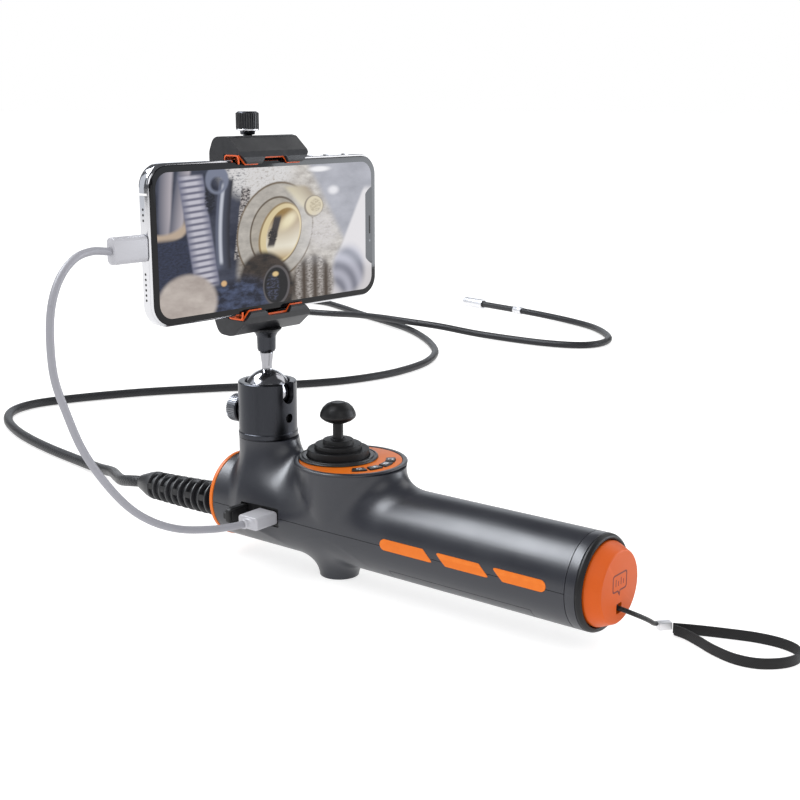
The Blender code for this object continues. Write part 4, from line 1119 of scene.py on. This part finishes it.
def make_jaws():
    """Two jaws of one section each, toothed lips over orange liners, and the clamp's screw."""
    lower = [(-13.4, 134), (-13.4, 126.5), (-10.2, 119.4), (-2, 119), (1.2, 119.6), (8.8, 126), (10, 129),
        (10, 131.2), (9.2, 132), (7.9, 132), (7.9, 127.5), (-2.9, 127.5), (-2.9, 134)]
    upper = [(-13.4, 201.5), (-2.9, 201.5), (-2.9, 207.9), (7.9, 207.9), (7.9, 203.4), (9.2, 203.4),
        (10, 204.2), (10, 206.6), (8.8, 209.4), (1.2, 215.8), (-2, 216.4), (-10.2, 216), (-13.4, 208.9)]
    soft = 1.0
    radii_low = [0.4, 6.5, 6.5, 4, 3, 1.2, soft, 0.6, 0.5, 0.3, 0.3, 0.3, 0.3]
    radii_up = [0.4, 0.3, 0.3, 0.3, 0.3, 0.5, 0.6, soft, 1.2, 3, 4, 6.5, 6.5]
    for name, section, radii, lip, sign in (("jaw_low", lower, radii_low, 132, 1),
            ("jaw_high", upper, radii_up, 203.4, -1)):
        jaw = prism(name, rounded(section, radii, count=7, least=8), -22.5, 22.5, JAW_PLASTIC, "Y", 0, 3,
            CLAMP)
        root = lip - sign * 3.2
        notch = [(-9.6, lip + sign), (9.6, lip + sign), (6.9, root), (-6.9, root)]
        boolean(jaw, prism("notch", rounded(notch, 0.8), 7.7, 14, DARK, "X", 0, turn=CLAMP))
        for side in (-1, 1):
            corner = [(side * 23, lip + sign * 0.5), (side * 23, lip - sign * 5.0),
                (side * 17.6, lip + sign * 0.5)]
            boolean(jaw, prism("corner", corner, 6.6, 14, DARK, "X", 0, turn=CLAMP))
        if sign > 0:
            plate = block("plate", (-4.6, -13, 130), (-2.9, 13, 158), JAW_PLASTIC, 0.5, 0.4, CLAMP)
            nut = block("nut", (-13.4, -7, 144), (-4, 7, 157), JAW_PLASTIC, 0.8, 0.5, CLAMP)
            neck = lathe("neck", [(0, 121), (8.2, 120.6), (6.4, 118.7), (0, 118.7)], JAW_PLASTIC, steps=64,
                round_by=0.3, turn=CLAMP)
            jaw = joined(name, [jaw, plate, nut, neck])
            finish_shell(jaw, "jaw_low", "clamp", "black_plastic", "clamp_frame")
        else:
            finish_shell(jaw, "jaw_high", "upper_jaw", "black_plastic", "upper_jaw")
        make_liner(name, lip, sign)
    knob = prism("clamp_wheel", knurled(5.75, 0.38, 30), 219.2, 227.2, BLACK_PLASTIC, "Z", 0.35, 2,
                 ON_SCREW, 25)
    caps = lathe("caps", [(0, 227.8), (4.6, 227.8), (5.4, 227.2), (5.4, 219.0), (5.0, 218.6), (3.9, 218.4),
        (3.6, 216.6), (2.25, 216.4), (2.25, 140), (0, 140)], BLACK_METAL, steps=64, round_by=0.3,
        turn=ON_SCREW)
    rim = lathe("rim", [(5.0, 219.4), (5.8, 219.3), (5.8, 218.5), (5.0, 218.3)], SILVER, steps=64, ring=True,
        round_by=0.2, turn=ON_SCREW)
    settle(joined("clamp_wheel", [knob, caps, rim]), "clamp_screw", "black_metal", "clamp_knob")


def make_liner(name, lip, sign):
    """The thin liner shows as a line along the lip's teeth and as an arch at the jaw's end."""
    edge = lip + sign * 0.55
    root = lip - sign * 3.0 + sign * 0.55
    floor = lip - sign * 4.3
    teeth = [(-22.3, floor), (-22.3, lip - sign * 3.9), (-17.9, edge), (-10.0, edge), (-7.2, root),
        (7.2, root), (10.0, edge), (17.9, edge), (22.3, lip - sign * 3.9), (22.3, floor)]
    inside = [(y * 0.985, z - sign * 1.15) for y, z in reversed(teeth[1:-1])]
    front = prism("liner", teeth[1:-1] + inside, 6.75, 7.75, LINER, "X", 0.1, 1, CLAMP)
    thick = sorted((floor, floor - sign * 0.8))
    base = block("liner_base", (-2.7, -22.3, thick[0]), (7.7, 22.3, thick[1]), LINER, 0.3, 0.1, CLAMP)
    wall = sorted((floor, floor + sign * 5.5))
    back = block("liner_back", (-2.7, -22.3, wall[0]), (-1.75, 22.3, wall[1]), LINER, 0.2, 0.1, CLAMP)
    lining = joined("lining", [base, back])
    lining.data.materials.clear()
    lining.data.materials.append(BLACK_RUBBER)
    for polygon in lining.data.polygons:
        polygon.material_index = 0
    deep = floor + sign * 0.75
    line = [(-2.7, lip), (-2.7, floor), (7.7, floor), (7.7, lip), (7.0, lip), (7.0, deep), (-2.0, deep),
        (-2.0, lip)]
    bow = prism("liner_bow", rounded(line, [0.1, 2.2, 2.2, 0.1, 0.1, 1.5, 1.5, 0.1], count=6), -22.42, -21.7,
        LINER, "Y", 0.1, 1, CLAMP)
    body, node = ("clamp", "lower_jaw_pad") if sign > 0 else ("upper_jaw", "upper_jaw_pad")
    settle(joined("liner_low" if sign > 0 else "liner_high", [front, bow, lining]), body, "orange_rubber",
        node)


make_housing()
make_deck()
make_joystick()
make_nose()
make_tail()
make_ball_head()
make_jaws()


# Phone, with a generic picture of cast metal and hoses on its screen

def srgb(r, g, b):
    return tuple((c / 255) ** 2.2 for c in (r, g, b))


def screen_picture_with_painted_reflection():
    """A lit screen with a painted reflection haze: soft masks painted over each other in the picture's own u
    (along) and v (up).
    """
    made, n = material("screen_picture_with_painted_reflection", (0, 0, 0), 0.07, Specular_IOR_Level=0.25)
    u, v, _ = n.split(n.place("UV"))
    wander = n.noise(7, 4, 0.6, n.place("UV"))
    fine = n.noise(70, 3, 0.7, n.place("UV"))
    coarse = n.noise(18, 4, 0.65, n.place("UV"))

    def less(value, edge, soft):
        return n.span(value, edge - soft, edge + soft, 1, 0, smooth=True)

    def distance(cx, cy, rx, ry, lean=0.0):
        du = n.math("MULTIPLY_ADD", n.math("SUBTRACT", v, cy), lean, n.math("SUBTRACT", u, cx))
        a = n.math("POWER", n.math("ABSOLUTE", n.math("DIVIDE", du, rx)), 2)
        b = n.math("POWER", n.math("ABSOLUTE", n.math("DIVIDE", n.math("SUBTRACT", v, cy), ry)), 2)
        return n.math("SQRT", n.math("ADD", a, b))

    def oval(cx, cy, rx, ry, soft=0.08, lean=0.0):
        return less(distance(cx, cy, rx, ry, lean), 1, soft)

    def band(cx, slope, half, low, high, soft=0.006, bend=0.0, middle=0.5):
        """A strip about the line u = cx + slope (v - middle), bent by the square of v."""
        rise = n.math("SUBTRACT", v, middle)
        line = n.math("MULTIPLY_ADD", rise, slope, cx)
        line = n.math("MULTIPLY_ADD", n.math("MULTIPLY", rise, rise), bend, line)
        across = n.math("SUBTRACT", u, line)
        inside = less(n.math("ABSOLUTE", across), half, soft)
        ends = n.math("MULTIPLY", less(v, high, 0.02), n.span(v, low - 0.02, low + 0.02, smooth=True))
        return n.math("MULTIPLY", inside, ends), across

    picture = n.mix(n.span(wander, 0.35, 0.65), srgb(30, 36, 56), srgb(66, 70, 86))

    def paint(colour, mask):
        nonlocal picture
        picture = n.mix(mask, picture, srgb(*colour) if isinstance(colour, tuple) else colour)

    def tones(value, low, high, dark, pale):
        return n.mix(n.span(value, low, high), srgb(*dark), srgb(*pale))

    def times(*masks):
        result = masks[0]
        for other in masks[1:]:
            result = n.math("MULTIPLY", result, other)
        return result

    # cast metal over the right two thirds
    metal_tone = tones(coarse, 0.3, 0.7, (136, 126, 116), (206, 200, 192))
    paint(metal_tone, n.span(n.math("MULTIPLY_ADD", v, -0.06, u), 0.30, 0.34, smooth=True))
    paint((222, 220, 220), times(oval(0.44, 0.98, 0.16, 0.20, 0.3), n.span(fine, 0.3, 0.5)))
    # hoses and pipes at the left
    for cx, slope, bend in ((0.035, 0.03, 0.10), (0.095, 0.10, 0.05)):
        strip, across = band(cx, slope, 0.028, 0.56, 1.1, 0.008, bend, 0.8)
        paint(tones(across, -0.028, 0.02, (84, 88, 104), (176, 170, 178)), strip)
    paint((190, 170, 150), times(oval(0.02, 0.64, 0.11, 0.12, 0.1),
        n.span(distance(0.02, 0.70, 0.10, 0.12), 0.9, 1.1)))
    paint(tones(fine, 0.3, 0.7, (26, 31, 48), (52, 60, 86)), times(less(u, 0.15, 0.01), less(v, 0.54, 0.02)))
    hose, across = band(0.178, -0.075, 0.053, 0.19, 0.97, 0.006)
    ribs = n.math("SINE", n.math("MULTIPLY_ADD", v, 2 * math.pi / 0.043, n.math("MULTIPLY", across, -18)))
    rib_tone = tones(ribs, -1, 0.4, (104, 104, 124), (198, 196, 208))
    paint(n.mix(n.span(n.math("ABSOLUTE", across), 0.02, 0.055), rib_tone, srgb(110, 112, 134)), hose)
    paint((24, 28, 42), times(oval(0.222, 0.80, 0.022, 0.10, 0.3), n.span(fine, 0.35, 0.5)))
    dark_pipe, across = band(0.272, 0.02, 0.030, 0.30, 0.93, 0.006, 0.12, 0.55)
    paint(tones(across, -0.03, 0.03, (96, 102, 122), (22, 24, 36)), dark_pipe)
    shine, _ = band(0.262, 0.02, 0.007, 0.34, 0.9, 0.006, 0.12, 0.55)
    paint((196, 200, 212), shine)
    arch = times(oval(0.255, 0.93, 0.05, 0.10, 0.12), n.span(distance(0.255, 0.90, 0.028, 0.05), 0.8, 1.2))
    paint((120, 126, 146), arch)
    strip, _ = band(0.352, 0.085, 0.020, 0.36, 0.86, 0.005)
    paint(tones(fine, 0.44, 0.56, (46, 42, 46), (186, 180, 178)), strip)
    # the bore with its rings
    for rx, ry, colour in ((0.180, 0.36, (120, 104, 84)), (0.174, 0.345, (196, 190, 182)),
            (0.122, 0.255, (110, 98, 84)), (0.115, 0.24, (188, 180, 168))):
        paint(n.mix(n.span(coarse, 0.35, 0.7), srgb(*[c * 0.86 for c in colour]), srgb(*colour)),
              oval(0.515, 0.53, rx, ry, 0.02, -0.06))
    paint((150, 128, 92), oval(0.535, 0.51, 0.100, 0.228, 0.03, -0.12))
    paint((222, 204, 160), oval(0.538, 0.51, 0.094, 0.216, 0.03, -0.12))
    gold = tones(v, 0.40, 0.66, (240, 234, 216), (150, 118, 62))
    gold = n.mix(n.span(v, 0.30, 0.42), srgb(176, 142, 78), gold)
    inner = oval(0.548, 0.505, 0.078, 0.190, 0.04, -0.12)
    paint(gold, inner)
    paint((238, 226, 190), times(inner, oval(0.575, 0.60, 0.03, 0.06, 0.7, -0.4)))
    slash, _ = band(0.502, 0.17, 0.017, 0.42, 0.64, 0.006)
    paint((62, 56, 56), times(slash, inner))
    paint((40, 37, 38), times(oval(0.498, 0.50, 0.022, 0.05, 0.3), n.span(fine, 0.4, 0.5)))
    # bolt
    shaft, across = band(0.655, -0.52, 0.052, 0.68, 0.85, 0.02, 0, 0.77)
    paint(tones(across, -0.05, 0.05, (214, 204, 176), (140, 120, 88)), shaft)
    paint((116, 100, 74), oval(0.700, 0.690, 0.048, 0.082, 0.06))
    paint((206, 192, 158), oval(0.703, 0.693, 0.042, 0.072, 0.08))
    paint((168, 152, 116), times(oval(0.708, 0.696, 0.028, 0.05, 0.1), n.span(fine, 0.35, 0.6)))
    # painted reflection haze, the white wedge and soft shapes at the right
    cast = times(oval(0.745, 0.50, 0.075, 0.13, 0.5), n.span(fine, 0.3, 0.6))
    paint((196, 190, 188), cast)
    # a pale band over the upper right: painted reflection of the glass, laid into the picture
    painted_reflection_haze = n.span(n.math("MULTIPLY_ADD", v, 0.30, u), 0.955, 1.0, smooth=True)
    paint(tones(wander, 0.3, 0.7, (126, 126, 136), (160, 160, 170)), times(painted_reflection_haze, n.span(v, 0.36, 0.42)))
    paint((232, 230, 232), oval(0.73, 0.965, 0.05, 0.02, 0.5))
    paint((220, 218, 222), oval(0.80, 0.80, 0.025, 0.03, 0.6))
    wedge = n.span(n.math("MULTIPLY_ADD", v, -0.28, u), 0.725, 0.745, smooth=True)
    paint((214, 210, 212), times(wedge, less(v, 0.80, 0.03)))
    paint(n.mix(n.span(n.math("SINE", n.math("MULTIPLY", distance(0.80, 0.0, 0.05, 0.1), 5)), -1, 1),
        srgb(128, 129, 143), srgb(176, 176, 190)), oval(0.875, 0.17, 0.085, 0.19, 0.25))
    ribs = n.math("SINE", n.math("MULTIPLY", u, 2 * math.pi / 0.055))
    cast_ribs = n.mix(n.math("MULTIPLY", n.span(ribs, -1, 1), n.span(fine, 0.3, 0.7)), srgb(74, 62, 52),
        srgb(206, 200, 196))
    paint(cast_ribs, oval(0.69, 0.10, 0.105, 0.22, 0.12))
    # black fitting and the dark blue foreground
    paint(tones(coarse, 0.35, 0.7, (24, 20, 20), (74, 62, 54)), oval(0.47, 0.14, 0.125, 0.25, 0.10, 0.1))
    paint(tones(coarse, 0.4, 0.7, (22, 28, 48), (80, 92, 124)), oval(0.34, 0.05, 0.14, 0.17, 0.3))
    paint((92, 88, 90), oval(0.512, 0.13, 0.064, 0.150, 0.04))
    paint((18, 18, 22), oval(0.510, 0.13, 0.056, 0.134, 0.05))
    paint((70, 74, 96), times(oval(0.495, 0.12, 0.030, 0.10, 0.2), n.span(fine, 0.45, 0.6)))
    paint((226, 196, 140), oval(0.508, 0.215, 0.014, 0.018, 0.4))
    paint(tones(wander, 0.3, 0.7, (166, 154, 148), (208, 198, 190)), oval(0.115, 0.09, 0.125, 0.20, 0.10))
    paint((222, 180, 130), oval(0.272, 0.195, 0.012, 0.02, 0.4))
    n.plug(n.shader.inputs["Emission Color"], picture)
    n.shader.inputs["Emission Strength"].default_value = 0.86
    return made


BEZEL_GLASS, _ = material("bezel_glass", (0.003, 0.003, 0.004), 0.05, Specular_IOR_Level=0.25)
# near black for the phone's holes and ear slot, which are not cut: painted shade
HOLE_SHADE, _ = material("painted_hole_shade", (0.003, 0.003, 0.003), 0.6)
ANTENNA, _ = material("antenna_line", (0.80, 0.80, 0.80), 0.4)


def make_phone():
    band = prism("phone_frame", rounded_rect(PHONE_LENGTH, PHONE_HEIGHT, 11, 0, PHONE_MID_Z, 12),
        -1.4, 6.0, BAND_METAL, "X", 2.0, 6, CLAMP, 45)
    holes = []
    # speaker holes as flat dark discs on the frame's end: painted shade
    for dz in (17.3, 14.8, 12.3, -12.2, -14.7, -17.1, -19.5, -21.9, -24.3):
        holes.append(lathe("hole", rect(0, -75.0, 0.62, -76.03), HOLE_SHADE,
                           (2.3, 0, PHONE_MID_Z + dz), "Y", 16, round_by=0, turn=CLAMP))
    for dz in (5.9, -6.2):
        holes.append(lathe("screw", rect(0, -75.0, 0.5, -76.03), STEEL,
                           (2.3, 0, PHONE_MID_Z + dz), "Y", 16, round_by=0, turn=CLAMP))
    lines = [block("antenna", (-0.6, -76.04, PHONE_MID_Z + 23.6), (5.2, -75, PHONE_MID_Z + 24.6), ANTENNA,
        0.1, 0, CLAMP), block("antenna", (-0.6, 75, PHONE_MID_Z + 23.6), (5.2, 76.04, PHONE_MID_Z + 24.6),
        ANTENNA, 0.1, 0, CLAMP)]
    for low, high in ((28, 38), (40.5, 50.5), (54, 59)):
        lines.append(prism("side_key", rounded_rect(high - low, 2.0, 0.95, (low + high) / 2, 2.3), -0.4, 0.45,
            BAND_METAL, "Z", 0.25, 2, CLAMP @ Matrix.Translation((0, 0,
            (PHONE_LOW + PHONE_HEIGHT) * MM))
            @ Matrix(((0, 1, 0, 0), (1, 0, 0, 0), (0, 0, 1, 0), (0, 0, 0, 1)))))
    settle(joined("phone_frame", [band] + holes + lines), "clamp", "phone_band", "phone_body")

    back = prism("phone_back", rounded_rect(149.4, 73.0, 9.8, 0, PHONE_MID_Z, 10), -1.6, -1.3, BACK_GLASS,
        "X", 0.12, 2, CLAMP)
    island = prism("camera_island", rounded_rect(26, 14, 6.5, 58, PHONE_MID_Z + 27, 8), -2.6, -1.5,
        BACK_GLASS, "X", 0.4, 2, CLAMP)
    eyes = [lathe("back_lens", rect(0, -2.7, 4.4, -2.2), LENS_GLASS, (0, y, PHONE_MID_Z + 27), "X",
                  32, round_by=0.2, turn=CLAMP) for y in (52, 64)]
    settle(joined("phone_back", [back, island] + eyes), "clamp", "phone_glass")

    glass = prism("phone_face", rounded_rect(149.8, 73.4, 9.9, 0, PHONE_MID_Z, 12), 5.7, 6.55, BEZEL_GLASS,
        "X", 0.5, 4, CLAMP, 50)
    settle(glass, "clamp", "phone_glass", "phone_glass")
    width, height = 143.6, 67.4
    outline = rounded_rect(width, height, 7.4, 0, PHONE_MID_Z, 10)
    points = [(6.58, y, z) for y, z in outline]
    screen = from_points("lit_screen", points, [list(range(len(points)))], screen_picture_with_painted_reflection(), 35, CLAMP)
    layer = screen.data.uv_layers.new(name="UVMap")
    for loop in screen.data.loops:
        _, y, z = points[loop.vertex_index]
        layer.data[loop.index].uv = (y / width + 0.5, (z - PHONE_MID_Z) / height + 0.5)
    settle(screen, "clamp", "phone_glass")
    notch = prism("screen_notch", rounded([(69.3, PHONE_MID_Z - 19), (72.4, PHONE_MID_Z - 21),
        (72.4, PHONE_MID_Z + 21), (69.3, PHONE_MID_Z + 19), (67.2, PHONE_MID_Z + 17),
        (67.2, PHONE_MID_Z - 17)], 1.8), 6.4, 6.62, BEZEL_GLASS, "X", 0, turn=CLAMP)
    # ear slot as a flat dark sheet on the notch: painted shade
    ear = prism("ear_slot", rounded_rect(1.1, 9.6, 0.54, 70.4, PHONE_MID_Z + 0.5), 6.5, 6.64, HOLE_SHADE, "X", 0,
        turn=CLAMP)
    eye = prism("front_eye", arc(0.6, 0, 360, 17, 70.4, PHONE_MID_Z - 8)[:-1], 6.5, 6.64, LENS_GLASS, "X", 0,
        turn=CLAMP)
    settle(joined("screen_notch", [notch, ear, eye]), "clamp", "phone_glass")


def make_port():
    """The open rubber cover beside the plug, and the port behind it."""
    ring_outer = rounded(rect(-34.9, 25.9, -21.7, 34.0), 2.2, count=6)
    flap = prism("cover_flap", ring_outer, -45.3, -42.1, BLACK_RUBBER, "X", 0.5, 3)
    pull = prism("cover_pull", rounded(rect(-33.6, 27.2, -30.2, 31.2), 1.2), -48.3, -44.6,
                 BLACK_RUBBER, "X", 0.5, 3)
    inner = rounded(rect(-33.4, 27.4, -23.5, 32.5), 1.6, count=5)
    raised = prism("cover_seal", inner, -42.2, -41.5, BLACK_RUBBER, "X", 0.25, 2)
    settle(joined("cover_flap", [flap, pull, raised]), "port_flap", "black_rubber", "port_flap")
    lining = prism("port_lining", rounded(rect(-45.8, 25.1, -21.3, 34.7), 1.1, count=5), -20.8,
                   -20.4, BLACK_RUBBER, "Y", 0)
    opening = prism("opening", rounded(rect(PORT_X - 6.6, 26.6, PORT_X + 6.6, 33.4), 1.5), -30, -10, DARK,
        "Y", 0)
    boolean(lining, opening)
    settle(lining, "handle", "black_rubber")
    shell = prism("port_shell", rounded(rect(PORT_X - 5.2, 27.9, PORT_X + 5.2, 32.1), 1.9, count=6), -18.8,
        -10, STEEL, "Y", 0.2)
    settle(shell, "handle", "steel", "usb_port")


def make_small_parts():
    screw = lathe("door_screw_head", [(0, 13.5), (2.0, 13.5), (2.0, 9.3), (3.0, 9.0), (0, 8.5)], STEEL,
        (117, 0, 0), "Z", 48, round_by=0.15)
    settle(screw, "handle", "steel", "door_screw")
    for name, y in (("left", -14), ("right", 14)):
        pin = lathe("rod_" + name, rect(0, 213, 2, 124.4), STEEL, steps=32, round_by=0.3,
                    turn=CLAMP @ Matrix.Translation((ROD_X * MM, y * MM, 0)))
        settle(pin, "clamp", "steel", "guide_rod_" + name)
    looks = {"ball_seat": BLACK_PLASTIC, "gimbal_base": BLACK_PLASTIC, "gimbal_ring": STEEL,
        "control_board": BOARD, "battery_cell": CELL}
    for node, look in looks.items():
        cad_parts[node].data.materials.clear()
        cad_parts[node].data.materials.append(look)


make_phone()
make_port()
make_small_parts()
